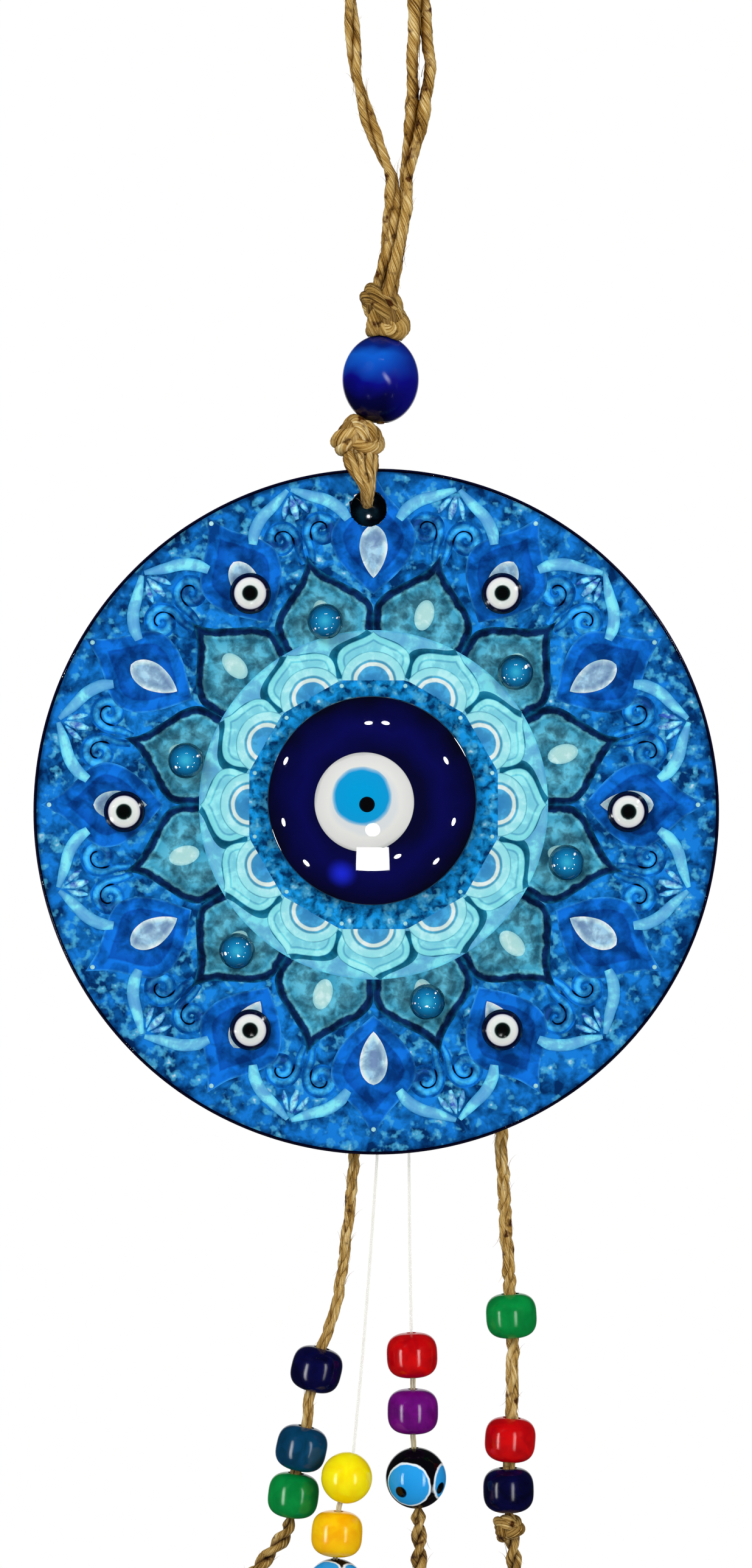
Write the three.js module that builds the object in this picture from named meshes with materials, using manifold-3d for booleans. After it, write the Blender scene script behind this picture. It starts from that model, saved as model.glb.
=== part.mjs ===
// Evil eye wall hanging: a round printed board with a glass eye at its centre, hung from a knotted
// jute loop, with four strands of beads below it. Lengths are in millimetres, +Z is up and the front
// faces -Y. The origin is the point where the nail carries the hanging loop.

import * as THREE from "three";
import { mergeVertices } from "three/addons/utils/BufferGeometryUtils.js";
import Module from "manifold-3d";

const wasm = await Module();
wasm.setup();

// The stack of the disc: a wooden board, a printed sheet on it and a clear coat poured over both.
const BOARD_DIAMETER = 150;
const BOARD_THICKNESS = 4;
const BOARD_EASED_EDGE = 0.4;
const SHEET_THICKNESS = 0.3;
const SHEET_INSET = 0.4;
const COAT_THICKNESS = 1.2;
const COAT_INSET = 0.4;
const COAT_EDGE_RADIUS = 0.8;
const STACK_THICKNESS = BOARD_THICKNESS + SHEET_THICKNESS + COAT_THICKNESS;
const BACK_Y = STACK_THICKNESS / 2;
const BOARD_FRONT_Y = BACK_Y - BOARD_THICKNESS;
const SHEET_FRONT_Y = BOARD_FRONT_Y - SHEET_THICKNESS;
const FRONT_Y = SHEET_FRONT_Y - COAT_THICKNESS;

// The hole under the rim that the tie passes through.
const HOLE_DIAMETER = 8;
const HOLE_BRIDGE = 4.7;
const HOLE_X = -1.7;
const HOLE_Z = BOARD_DIAMETER / 2 - HOLE_BRIDGE - HOLE_DIAMETER / 2;

// The centre eye: a cobalt glass dome with a white, a sky blue and a black drop set into its front.
const EYE_DIAMETER = 45.7;
const EYE_HEIGHT = 8;
const EYE_EDGE_HEIGHT = 1.4;
const EYE_FOOT_INSET = 0.6;
const EYE_CENTRE_X = -0.9;
const EYE_CENTRE_Z = 2.4;
const WHITE_DIAMETER = 21.6;
const WHITE_DEPTH = 4.5;
const WHITE_OFF_X = -1.7;
const WHITE_OFF_Z = -0.3;
const SKY_DIAMETER = 13.1;
const SKY_DEPTH = 3;
const SKY_OFF_X = -0.5;
const SKY_OFF_Z = 1.2;
const PUPIL_DIAMETER = 3.4;
const PUPIL_DEPTH = 1.6;
const PUPIL_OFF_X = 1.1;
const PUPIL_OFF_Z = -1.7;
const GLASS_GAP = 0.15;

// The ring of small eye cabochons and the ring of glass drops between them.
const RING_COUNT = 6;
const SMALL_EYE_DIAMETER = 9;
const SMALL_EYE_HEIGHT = 3.2;
const SMALL_EYE_RING_RADIUS = 55;
const SMALL_EYE_FIRST_ANGLE = 60;
const DROP_DIAMETER = 7.8;
const DROP_HEIGHT = 3.6;
const DROP_RING_RADIUS = 43;
const DROP_FIRST_ANGLE = 45;

// The cords.
const JUTE_RADIUS = 1.4;
const LEFT_CORD_RADIUS = 1.3;
const RIGHT_CORD_RADIUS = 1.5;
const THREAD_RADIUS = 0.55;
const TAIL_RADIUS = 1.75;
const TIE_RADIUS = 1.2;
const TIE_WIDTH = 4.2;
const CORD_GAP = 0.3;
const BORE_CLEARANCE = 0.45;
const CHANNEL_CLEARANCE = 0.45;

// The hanging loop above the disc, and where the nail carries it, measured from the disc's centre.
const NAIL_X = 1.75;
const NAIL_Z = 218;
const LOOP_HALF_WIDTH = 7.55;
const LOOP_PLY_GAP = 0.8;
const LOOP_TWIST_TURNS = 1;

// The oval bead between the two knots, and the knots.
const BLUE_BEAD_DIAMETER = 16.8;
const BLUE_BEAD_LENGTH = 19.4;
const NECK_X = 0.95;
const LOWER_KNOT_X = -4;
const LOWER_KNOT_HALF_WIDTH = 6.1;
const LOWER_KNOT_HALF_HEIGHT = 3.05;
const LOWER_KNOT_HALF_DEPTH = 3.6;
const LOWER_KNOT_SEAT = 2.35;
const LOWER_KNOT_TURN_PITCH = 2.5;
const UPPER_KNOT_X = 1.9;
const UPPER_KNOT_HALF_WIDTH = 5.7;
const UPPER_KNOT_HALF_HEIGHT = 5.25;
const UPPER_KNOT_HALF_DEPTH = 4.8;
const KNOT_TURN_PITCH = 3.5;
const END_KNOT_HALF_WIDTH = 3.6;
const END_KNOT_HALF_HEIGHT = 3.2;
const FRAY_LENGTH = 5;

// The beads on the strands.
const BARREL_DIAMETER = 11.2;
const BARREL_LENGTH = 9.9;
const BARREL_ROUNDING = 3.1;
const BALL_DIAMETER = 11.2;
const EYE_BEAD_DIAMETER = 13.4;

// The glue on the back.
const DAB_RADIUS = 4.2;
const DAB_COVER = 1.2;
const DAB_FROM_RIM = 13;

// Fineness of the round forms.
const DISC_SIDES = 64;
const EYE_SIDES = 32;
const CABOCHON_SIDES = 18;
const BEAD_SIDES = 16;
const CORD_SIDES = 8;
const DAB_SIDES = 12;
const OVERRUN = 1;

const V = (x, y, z) => new THREE.Vector3(x, y, z);
const radians = THREE.MathUtils.degToRad;

// Turns a closed geometry into a solid that can be joined and cut.
function solidOf(geometry) {
  const bare = geometry.clone();
  bare.deleteAttribute("normal");
  bare.deleteAttribute("uv");
  const merged = mergeVertices(bare, 1e-4);
  const solid = new wasm.Manifold(
    new wasm.Mesh({
      numProp: 3,
      vertProperties: merged.attributes.position.array,
      triVerts: new Uint32Array(merged.index.array),
    }),
  );
  return solid;
}

// Turns a solid back into a geometry.
function geometryOf(solid) {
  const mesh = solid.getMesh();
  const geometry = new THREE.BufferGeometry();
  geometry.setAttribute("position", new THREE.BufferAttribute(mesh.vertProperties, 3));
  geometry.setIndex(new THREE.BufferAttribute(mesh.triVerts, 1));
  geometry.computeVertexNormals();
  return geometry;
}

const join = (...geometries) =>
  geometryOf(geometries.map(solidOf).reduce((whole, piece) => whole.add(piece)));
const cut = (body, ...tools) =>
  geometryOf(tools.map(solidOf).reduce((left, tool) => left.subtract(tool), solidOf(body)));
const common = (a, b) => geometryOf(solidOf(a).intersect(solidOf(b)));

// A round form about the Y axis from its profile of [radius, y] pairs.
function turned(profile, sides) {
  return new THREE.LatheGeometry(
    profile.map(([radius, y]) => new THREE.Vector2(radius, y)),
    sides,
  );
}

// A plain rod along Y between two heights, used to cut holes and pockets.
function rodAlongY(radius, fromY, toY, x, z, sides) {
  const rod = new THREE.CylinderGeometry(radius, radius, toY - fromY, sides);
  return rod.translate(x, (fromY + toY) / 2, z);
}

// A quarter arc of [radius, y] points round a corner.
function cornerArc(radius, y, size, fromAngle, toAngle, steps) {
  return Array.from({ length: steps + 1 }, (_, i) => {
    const angle = radians(fromAngle + ((toAngle - fromAngle) * i) / steps);
    return [radius + size * Math.cos(angle), y + size * Math.sin(angle)];
  });
}

// A tube of round section along a smooth curve through the points, with flat ends.
function tube(points, radius, steps, sides = CORD_SIDES) {
  const section = new THREE.Shape(
    Array.from({ length: sides }, (_, i) => {
      const angle = (2 * Math.PI * i) / sides;
      return new THREE.Vector2(radius * Math.cos(angle), radius * Math.sin(angle));
    }),
  );
  const extrudePath = new THREE.CatmullRomCurve3(points, false, "centripetal");
  return new THREE.ExtrudeGeometry(section, { steps, extrudePath, bevelEnabled: false });
}

function ball(radius, centre, sides = CORD_SIDES) {
  const geometry = new THREE.SphereGeometry(radius, sides, sides - 2);
  return geometry.translate(centre.x, centre.y, centre.z);
}

// Materials.
const finish = (color, roughness, metalness = 0, extra = {}) =>
  new THREE.MeshStandardMaterial({ color, roughness, metalness, ...extra });
const wood = finish(0x1d1a18, 0.7);
const print = finish(0x1464be, 0.6);
const clear = finish(0xe8f4ff, 0.05, 0, { transparent: true, opacity: 0.2 });
const cobalt = finish(0x0a1450, 0.06);
const whiteGlass = finish(0xf2efe4, 0.1);
const skyGlass = finish(0x5ab4f0, 0.1);
const blackGlass = finish(0x08080a, 0.1);
const dropGlass = finish(0x1e78dc, 0.05, 0, { transparent: true, opacity: 0.7 });
const jute = finish(0xa5824b, 0.95);
const nylon = finish(0xe6e4d8, 0.3, 0, { transparent: true, opacity: 0.5 });
const glue = finish(0xe9dfc4, 0.4);
const beadFinish = {
  navy: finish(0x0c0a50, 0.2),
  teal: finish(0x0a4a6e, 0.2),
  green: finish(0x0a8a34, 0.2),
  red: finish(0xcc0a14, 0.2),
  purple: finish(0x6e0a78, 0.2),
  yellow: finish(0xffe600, 0.3),
  orange: finish(0xffbe0a, 0.3),
  black: finish(0x0a0a0a, 0.15),
};

const hanging = new THREE.Group();
const fromDiscCentre = new THREE.Group();
fromDiscCentre.position.set(-NAIL_X, 0, -NAIL_Z);
hanging.add(fromDiscCentre);

function add(name, geometry, material) {
  const mesh = new THREE.Mesh(geometry, material);
  mesh.name = name;
  fromDiscCentre.add(mesh);
}

// Where the pieces turn, each with a point on its axis measured from the nail, kept with the group.
const pivots = {};
function pivotAt(name, point, axis) {
  const at = point.clone().add(fromDiscCentre.position);
  pivots[name] = { at: at.toArray(), axis: axis.toArray() };
}

// The disc.
const hole = rodAlongY(
  HOLE_DIAMETER / 2, FRONT_Y - OVERRUN, BACK_Y + OVERRUN, HOLE_X, HOLE_Z, BEAD_SIDES,
);

function makeBoard() {
  const radius = BOARD_DIAMETER / 2;
  const eased = BOARD_EASED_EDGE;
  const profile = [
    [0, BOARD_FRONT_Y],
    [radius - eased, BOARD_FRONT_Y],
    [radius, BOARD_FRONT_Y + eased],
    [radius, BACK_Y - eased],
    [radius - eased, BACK_Y],
    [0, BACK_Y],
  ];
  add("board", cut(turned(profile, DISC_SIDES), hole), wood);
}

function makeSheet() {
  const radius = BOARD_DIAMETER / 2 - SHEET_INSET;
  const profile = [
    [0, SHEET_FRONT_Y],
    [radius, SHEET_FRONT_Y],
    [radius, BOARD_FRONT_Y],
    [0, BOARD_FRONT_Y],
  ];
  add("printed_sheet", cut(turned(profile, DISC_SIDES), hole), print);
}

function makeCoat() {
  const radius = BOARD_DIAMETER / 2 - COAT_INSET;
  const round = COAT_EDGE_RADIUS;
  const profile = [
    [0, FRONT_Y],
    ...cornerArc(radius - round, FRONT_Y + round, round, -90, 0, 2),
    [radius, SHEET_FRONT_Y],
    [0, SHEET_FRONT_Y],
  ];
  add("resin_coat", cut(turned(profile, DISC_SIDES), hole), clear);
}

// A flat-backed glass dome whose foot is at y and whose crown points to the front.
function dome(diameter, height, edgeHeight, footInset, y, sides, rings) {
  const radius = diameter / 2;
  const rise = height - edgeHeight;
  const sphere = (radius * radius + rise * rise) / (2 * rise);
  const half = Math.asin(radius / sphere);
  const crown = Array.from({ length: rings + 1 }, (_, i) => {
    const angle = (half * i) / rings;
    return [sphere * Math.sin(angle), y - height + sphere * (1 - Math.cos(angle))];
  });
  crown[0][0] = 0;
  return turned([...crown, [radius - footInset, y], [0, y]], sides);
}

// The centre eye is one dome: each layer is what its pocket takes out of the layer below.
function makeCentreEye() {
  const whole = () =>
    dome(EYE_DIAMETER, EYE_HEIGHT, EYE_EDGE_HEIGHT, EYE_FOOT_INSET, 0, EYE_SIDES, 5);
  const pocket = (diameter, depth, x, z, sides) =>
    rodAlongY(diameter / 2, -EYE_HEIGHT - OVERRUN, depth - EYE_HEIGHT, x, z, sides);
  const white = [WHITE_OFF_X, WHITE_OFF_Z];
  const sky = [white[0] + SKY_OFF_X, white[1] + SKY_OFF_Z];
  const pupil = [sky[0] + PUPIL_OFF_X, sky[1] + PUPIL_OFF_Z];
  const layers = [
    ["centre_eye_white", WHITE_DIAMETER, WHITE_DEPTH, white, whiteGlass, 30],
    ["centre_eye_sky", SKY_DIAMETER, SKY_DEPTH, sky, skyGlass, 24],
    ["centre_eye_pupil", PUPIL_DIAMETER, PUPIL_DEPTH, pupil, blackGlass, 12],
  ];
  const place = (geometry) => geometry.translate(EYE_CENTRE_X, FRONT_Y, EYE_CENTRE_Z);
  const pocketFor = ([, diameter, depth, [x, z], , sides]) =>
    pocket(diameter + 2 * GLASS_GAP, depth, x, z, sides);
  add("centre_eye_cobalt", place(cut(whole(), pocketFor(layers[0]))), cobalt);
  layers.forEach(([name, diameter, depth, [x, z], material, sides], i) => {
    const own = common(whole(), pocket(diameter, depth, x, z, sides));
    const above = layers[i + 1];
    add(name, place(above ? cut(own, pocketFor(above)) : own), material);
  });
}

// Places a copy at each of six equal angles round the disc.
function ring(name, first, radius, make, material) {
  for (let i = 0; i < RING_COUNT; i++) {
    const angle = radians(first + (360 * i) / RING_COUNT);
    const geometry = make().translate(radius * Math.cos(angle), FRONT_Y, radius * Math.sin(angle));
    add(`${name}_${i + 1}`, geometry, material);
  }
}

function makeCabochons() {
  const smallEye = () =>
    dome(SMALL_EYE_DIAMETER, SMALL_EYE_HEIGHT, SMALL_EYE_HEIGHT / 4, SMALL_EYE_HEIGHT / 8, 0,
      CABOCHON_SIDES, 3);
  const drop = () =>
    dome(DROP_DIAMETER, DROP_HEIGHT, DROP_HEIGHT / 4, DROP_HEIGHT / 8, 0, CABOCHON_SIDES, 3);
  ring("small_eye", SMALL_EYE_FIRST_ANGLE, SMALL_EYE_RING_RADIUS, smallEye, cobalt);
  ring("glass_drop", DROP_FIRST_ANGLE, DROP_RING_RADIUS, drop, dropGlass);
}

// A knot is a core with the cord wound round it, one unbroken turn running from its top to its foot.
function knot(centre, halfWidth, halfDepth, halfHeight, cordRadius, pitch = KNOT_TURN_PITCH) {
  const core = new THREE.SphereGeometry(1, 9, 6);
  core.rotateX(Math.PI / 2);
  core.scale(halfWidth - cordRadius / 2, halfDepth - cordRadius / 2, halfHeight - cordRadius / 4);
  const climb = 2 * (halfHeight - cordRadius);
  const turns = climb / pitch;
  const steps = Math.ceil(turns * 9);
  const wound = Array.from({ length: steps + 1 }, (_, i) => {
    const share = i / steps;
    const angle = 2 * Math.PI * turns * share;
    const swell = Math.sin(Math.PI * (0.1 + 0.8 * share)) ** 0.5;
    return V(
      (halfWidth - cordRadius) * swell * Math.cos(angle),
      (halfDepth - cordRadius) * swell * Math.sin(angle),
      climb * (0.5 - share),
    );
  });
  return join(core, tube(wound, cordRadius, steps, 5)).translate(centre.x, centre.y, centre.z);
}

// The tie: a flat loop of doubled cord through the hole and round the rim above it.
const TIE_INNER_RADIUS = Math.hypot(HOLE_BRIDGE / 2, STACK_THICKNESS / 2) + CORD_GAP;
const TIE_Z = BOARD_DIAMETER / 2 - HOLE_BRIDGE / 2;
const TIE_TOP_Z = TIE_Z + TIE_INNER_RADIUS + 2 * TIE_RADIUS;

function makeTie() {
  const loop = new THREE.TorusGeometry(TIE_INNER_RADIUS + TIE_RADIUS, TIE_RADIUS, CORD_SIDES, 20);
  loop.rotateY(Math.PI / 2);
  loop.scale(TIE_WIDTH / 2 / TIE_RADIUS, 1, 1);
  loop.translate(HOLE_X, 0, TIE_Z);
  add("tie_loop", loop, jute);
  pivotAt("disc_swing", V(HOLE_X, 0, TIE_Z - HOLE_BRIDGE / 2), V(0, 1, 0));
}

// The neck: lower knot, oval bead, upper knot and the cord through them, stacked on the tie.
const LOWER_KNOT_Z = TIE_TOP_Z + CORD_GAP + LOWER_KNOT_SEAT;
const BEAD_BOTTOM_Z = LOWER_KNOT_Z + LOWER_KNOT_HALF_HEIGHT + CORD_GAP;
const BLUE_BEAD_Z = BEAD_BOTTOM_Z + BLUE_BEAD_LENGTH / 2;
const UPPER_KNOT_BOTTOM_Z = BLUE_BEAD_Z + BLUE_BEAD_LENGTH / 2 + CORD_GAP;
const UPPER_KNOT_Z = UPPER_KNOT_BOTTOM_Z + UPPER_KNOT_HALF_HEIGHT;
const LOOP_FOOT_Z = UPPER_KNOT_Z + UPPER_KNOT_HALF_HEIGHT + CORD_GAP;

// A bead about the Y axis: its outline from bore edge to bore edge, closed along the bore.
function beadForm(outline, boreRadius) {
  const first = outline[0];
  const last = outline[outline.length - 1];
  return turned([...outline, [boreRadius, last[1]], [boreRadius, first[1]], first], BEAD_SIDES);
}

function barrel(boreRadius) {
  const side = BARREL_DIAMETER / 2 - BARREL_ROUNDING;
  const end = BARREL_LENGTH / 2 - BARREL_ROUNDING;
  return beadForm(
    [
      ...cornerArc(side, -end, BARREL_ROUNDING, -90, 0, 2),
      ...cornerArc(side, end, BARREL_ROUNDING, 0, 90, 2),
    ],
    boreRadius,
  );
}

function round(diameter) {
  return (boreRadius) => {
    const open = (Math.asin(boreRadius / (diameter / 2)) * 180) / Math.PI;
    return beadForm(cornerArc(0, 0, diameter / 2, open - 90, 90 - open, 7), boreRadius);
  };
}

function makeNeck() {
  const lower = V(LOWER_KNOT_X, 0, LOWER_KNOT_Z);
  add("lower_knot", knot(lower, LOWER_KNOT_HALF_WIDTH, LOWER_KNOT_HALF_DEPTH,
    LOWER_KNOT_HALF_HEIGHT, JUTE_RADIUS, LOWER_KNOT_TURN_PITCH), jute);
  const upper = V(UPPER_KNOT_X, 0, UPPER_KNOT_Z);
  add("upper_knot", knot(upper, UPPER_KNOT_HALF_WIDTH, UPPER_KNOT_HALF_DEPTH,
    UPPER_KNOT_HALF_HEIGHT, JUTE_RADIUS), jute);
  const bead = round(BLUE_BEAD_DIAMETER)(JUTE_RADIUS + BORE_CLEARANCE);
  bead.rotateX(Math.PI / 2);
  bead.scale(1, 1, BLUE_BEAD_LENGTH / BLUE_BEAD_DIAMETER);
  add("blue_bead", bead.translate(NECK_X, 0, BLUE_BEAD_Z), finish(0x0a3ce0, 0.15));
  const ends = [V(NECK_X, 0, BEAD_BOTTOM_Z), V(NECK_X, 0, UPPER_KNOT_BOTTOM_Z - CORD_GAP)];
  add("neck_cord", tube(ends, JUTE_RADIUS, 1), jute);
  pivotAt("disc_turn", V(NECK_X, 0, LOWER_KNOT_Z), V(0, 0, 1));
  pivotAt("disc_tip", lower, V(-1, 0, 0));
  pivotAt("blue_bead_spin", V(NECK_X, 0, BLUE_BEAD_Z), V(0, 0, 1));
}

// The hanging loop: one cord whose two legs twist round each other above the upper knot.
const LOOP_TWIST_CENTRE = [
  V(1.9, 0, LOOP_FOOT_Z),
  V(3.3, 0, 121),
  V(4.5, 0, 127),
  V(5.2, 0, 134),
  V(4.9, 0, 141),
];
const LOOP_LEFT_LEG = [V(0.6, 0, 145.5), V(-1.7, 0, 151.4), V(-4.5, 0, 161.9), V(-5.7, 0, 177.8)];
const LOOP_RIGHT_LEG = [V(7.7, 0, 145), V(8.9, 0, 151.4), V(9.9, 0, 161.9), V(9.4, 0, 177.8)];

function loopRoute() {
  const centre = new THREE.CatmullRomCurve3(LOOP_TWIST_CENTRE);
  const apart = JUTE_RADIUS + LOOP_PLY_GAP / 2;
  const twistSteps = 10;
  const twisted = (phase) =>
    Array.from({ length: twistSteps + 1 }, (_, i) => {
      const share = i / twistSteps;
      const angle = phase + 2 * Math.PI * LOOP_TWIST_TURNS * (share - 1);
      const at = centre.getPoint(share);
      return V(at.x + apart * Math.cos(angle), apart * Math.sin(angle), at.z);
    });
  const archZ = NAIL_Z + JUTE_RADIUS - LOOP_HALF_WIDTH;
  const arch = [180, 150, 120, 90, 60, 30, 0].map((degrees) =>
    V(
      NAIL_X + LOOP_HALF_WIDTH * Math.cos(radians(degrees)),
      0,
      archZ + LOOP_HALF_WIDTH * Math.sin(radians(degrees)),
    ),
  );
  return [
    ...twisted(Math.PI),
    ...LOOP_LEFT_LEG,
    ...arch,
    ...LOOP_RIGHT_LEG.toReversed(),
    ...twisted(0).toReversed(),
  ];
}

// The least gap between two stretches of the tube that are not next to each other along it.
function leastSelfGap(route, radius) {
  const curve = new THREE.CatmullRomCurve3(route, false, "centripetal");
  const points = curve.getSpacedPoints(400);
  const apartAlong = Math.ceil((6 * radius * 400) / curve.getLength());
  let least = Infinity;
  points.forEach((a, i) =>
    points.slice(i + apartAlong).forEach((b) => {
      least = Math.min(least, a.distanceTo(b));
    }),
  );
  return least - 2 * radius;
}

function makeLoop() {
  const route = loopRoute();
  console.log(`hanging_loop least gap to itself ${leastSelfGap(route, JUTE_RADIUS).toFixed(2)} mm`);
  add("hanging_loop", tube(route, JUTE_RADIUS, 60), jute);
}

// A strand is threaded from its pivot under the rim downwards. Each step runs along the cord at a
// tilt in degrees, where a positive tilt carries the lower end to the left.
const run = (length, tilt) => ({ length, tilt });
const bead = (name, form, length, tilt, material) => ({ name, form, length, tilt, material });
const barrelBead = (colour, tilt) =>
  bead(`${colour}_bead`, barrel, BARREL_LENGTH, tilt, beadFinish[colour]);
const eyeBead = (tilt) =>
  bead("eye_bead", round(EYE_BEAD_DIAMETER), EYE_BEAD_DIAMETER, tilt, beadFinish.black);
const ballBead = (colour, tilt) =>
  bead(`${colour}_bead`, round(BALL_DIAMETER), BALL_DIAMETER, tilt, beadFinish[colour]);

const strands = [
  {
    name: "left",
    rimX: -4.8,
    dabX: -5.6,
    radius: LEFT_CORD_RADIUS,
    material: jute,
    upper: [run(10.9, 5.8), run(12.4, 6.5), run(9.4, 9), run(9.3, 20), barrelBead("navy", 14)],
    lower: [run(6.2, 6), barrelBead("teal", 12.5), run(0.6, 10), barrelBead("green", 7)],
    tail: [run(3, 12), run(8, 40), run(9, 40), run(9, 30)],
    tailKnot: false,
  },
  {
    name: "front",
    rimX: 0.2,
    dabX: 0.2,
    dabHigher: 11,
    radius: THREAD_RADIUS,
    material: nylon,
    forward: 4.9,
    upper: [run(22, 4), run(22, 4.5), run(20.5, 5.5), ballBead("yellow", 15)],
    lower: [run(1, 8), barrelBead("orange", 4), run(0.5, 0), eyeBead(0)],
    tail: [run(5, -3), run(6, -2), run(4, 0)],
    tailKnot: false,
  },
  {
    name: "middle",
    rimX: 7.2,
    dabX: 7.2,
    radius: THREAD_RADIUS,
    material: nylon,
    upper: [run(19.4, -0.5), run(19.4, -1), barrelBead("red", -2)],
    lower: [run(1.6, 1), barrelBead("purple", 0), run(3, -4), eyeBead(-4)],
    tail: [run(6, -2), run(8, 0), run(8, 1), run(4, 0)],
    tailKnot: false,
  },
  {
    name: "right",
    rimX: 27.5,
    dabX: 27,
    radius: RIGHT_CORD_RADIUS,
    material: jute,
    upper: [run(11, -3), run(12, -3), run(11.2, -4), barrelBead("green", -3)],
    lower: [run(15.6, 1), barrelBead("red", 4), run(1.2, 5), barrelBead("navy", -1)],
    tail: [run(6, -6), run(8, -6), run(9, -4), run(4, 0)],
    tailKnot: true,
  },
];

// Walks down a list of steps from a start point, and gives the cord's points and the beads' places.
function walk(start, steps, forward) {
  const at = start.clone();
  const points = [at.clone()];
  const places = [];
  steps.forEach((step) => {
    const down = V(
      -Math.sin(radians(step.tilt)),
      -Math.tan(radians(forward)),
      -Math.cos(radians(step.tilt)),
    ).normalize();
    if (step.form) {
      const centre = at.clone().addScaledVector(down, step.length / 2);
      places.push({ ...step, centre, down });
      points.push(centre.clone());
    }
    at.addScaledVector(down, step.length);
    points.push(at.clone());
  });
  return { points, places, end: at };
}

const Y_AXIS = V(0, 1, 0);

function makeStrand(strand) {
  const { name, radius, material, forward = 0, dabHigher = 0 } = strand;
  const discRadius = BOARD_DIAMETER / 2;
  const y = BACK_Y + CORD_GAP + radius;
  const rimZ = -Math.sqrt(discRadius ** 2 - strand.rimX ** 2);
  const stubEndZ = rimZ - CORD_GAP;
  const pivot = V(strand.rimX, y, stubEndZ - CORD_GAP - radius);
  const dabZ = rimZ + DAB_FROM_RIM + dabHigher;

  const stubTop = V(strand.dabX, y, dabZ);
  add(`${name}_stub`, tube([stubTop, V(strand.rimX, y, stubEndZ)], radius, 1), material);

  const dabHeight = 2 * radius + 2 * CORD_GAP + DAB_COVER;
  const blob = dome(2 * DAB_RADIUS, dabHeight, dabHeight / 3, 0, 0, DAB_SIDES, 3);
  blob.rotateX(Math.PI).translate(strand.dabX, BACK_Y, dabZ);
  const channelEnd = V(strand.rimX, y, stubEndZ);
  const above = stubTop.clone().sub(channelEnd).setLength(CHANNEL_CLEARANCE).add(stubTop);
  add(`glue_dab_${name}`, cut(blob, tube([above, channelEnd], radius + CHANNEL_CLEARANCE, 1)), glue);

  const beads = (places) =>
    places.forEach((place) => {
      const form = place.form(radius + BORE_CLEARANCE);
      form.applyQuaternion(new THREE.Quaternion().setFromUnitVectors(Y_AXIS, place.down));
      form.translate(place.centre.x, place.centre.y, place.centre.z);
      add(`${name}_${place.name}`, form, place.material);
      pivotAt(`${name}_${place.name}_spin`, place.centre, place.down.clone().negate());
    });

  const upper = walk(pivot, strand.upper, forward);
  add(`${name}_upper_cord`, join(ball(radius, pivot), tube(upper.points, radius, 9)), material);
  beads(upper.places);

  const hang = upper.places.at(-1).down;
  const second = upper.end.clone().addScaledVector(hang, CORD_GAP + radius);
  const lower = walk(second, strand.lower, 0);
  add(`${name}_lower_cord`, join(ball(radius, second), tube(lower.points, radius, 7)), material);
  beads(lower.places);

  const tailStart = lower.end.clone().addScaledVector(lower.places.at(-1).down, CORD_GAP);
  const tail = walk(tailStart, strand.tail, 0);
  const fray = tail.points.at(-1).clone().add(V(0, 0, -FRAY_LENGTH - END_KNOT_HALF_HEIGHT));
  const knots = [tail.points.at(-1)];
  if (strand.tailKnot) knots.push(tailStart.clone().add(V(0, 0, -END_KNOT_HALF_HEIGHT)));
  const knotForms = knots.map((centre) =>
    knot(centre, END_KNOT_HALF_WIDTH, END_KNOT_HALF_WIDTH, END_KNOT_HALF_HEIGHT, JUTE_RADIUS),
  );
  const tailTube = tube([...tail.points, fray], TAIL_RADIUS, 7);
  add(`${name}_tail`, join(tailTube, ...knotForms), jute);
  pivotAt(`${name}_swing`, pivot, name === "left" ? V(0, 1, 0) : V(-1, 0, 0));
  pivotAt(`${name}_lower_swing`, second, V(0, 1, 0));
}

makeBoard();
makeSheet();
makeCoat();
makeCentreEye();
makeCabochons();
makeTie();
makeNeck();
makeLoop();
strands.forEach(makeStrand);

hanging.userData.pivots = pivots;

export default hanging;
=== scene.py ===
"""Evil eye wall hanging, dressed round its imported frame.

Points are worked out in millimetres from the middle of the disc, with +Z up and the front facing
-Y, and are turned to metres from the nail when they go into a mesh.
"""

import math

import bpy
import numpy as np
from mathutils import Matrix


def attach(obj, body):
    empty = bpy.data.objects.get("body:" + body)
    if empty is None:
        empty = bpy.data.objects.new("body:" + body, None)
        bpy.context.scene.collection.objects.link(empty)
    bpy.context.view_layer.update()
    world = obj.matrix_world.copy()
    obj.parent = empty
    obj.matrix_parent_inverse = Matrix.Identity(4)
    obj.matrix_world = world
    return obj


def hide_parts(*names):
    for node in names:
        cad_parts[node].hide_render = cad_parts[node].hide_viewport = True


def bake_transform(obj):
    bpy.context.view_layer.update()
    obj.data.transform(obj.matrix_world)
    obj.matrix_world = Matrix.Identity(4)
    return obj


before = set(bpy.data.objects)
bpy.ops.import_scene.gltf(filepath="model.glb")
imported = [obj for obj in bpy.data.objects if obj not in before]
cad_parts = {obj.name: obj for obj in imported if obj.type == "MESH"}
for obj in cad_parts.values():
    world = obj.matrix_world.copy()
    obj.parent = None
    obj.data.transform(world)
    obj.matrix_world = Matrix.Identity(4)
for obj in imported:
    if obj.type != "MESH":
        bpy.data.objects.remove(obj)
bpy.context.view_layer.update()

MM = 0.001
NAIL = np.array([1.75, 0.0, 218.0])

# Sizes that the solids have too.
DISC_RADIUS = 75.0
BACK_Y = 2.75
BOARD_FRONT_Y = -1.25
SHEET_FRONT_Y = -1.55
FRONT_Y = -2.75
HOLE = np.array([-1.7, 0.0, 66.3])
HOLE_RADIUS = 4.0
CORD_GAP = 0.3
TIE_Z = 72.65
TIE_RING_RADIUS = 5.117
LOWER_KNOT = np.array([-4.0, 0.0, 81.62])
BLUE_BEAD = np.array([0.95, 0.0, 94.67])
UPPER_KNOT = np.array([1.9, 0.0, 109.92])
BLUE_BEAD_HALF = np.array([8.4, 8.4, 9.7])
BEAD_SEAT = 1.02


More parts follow.
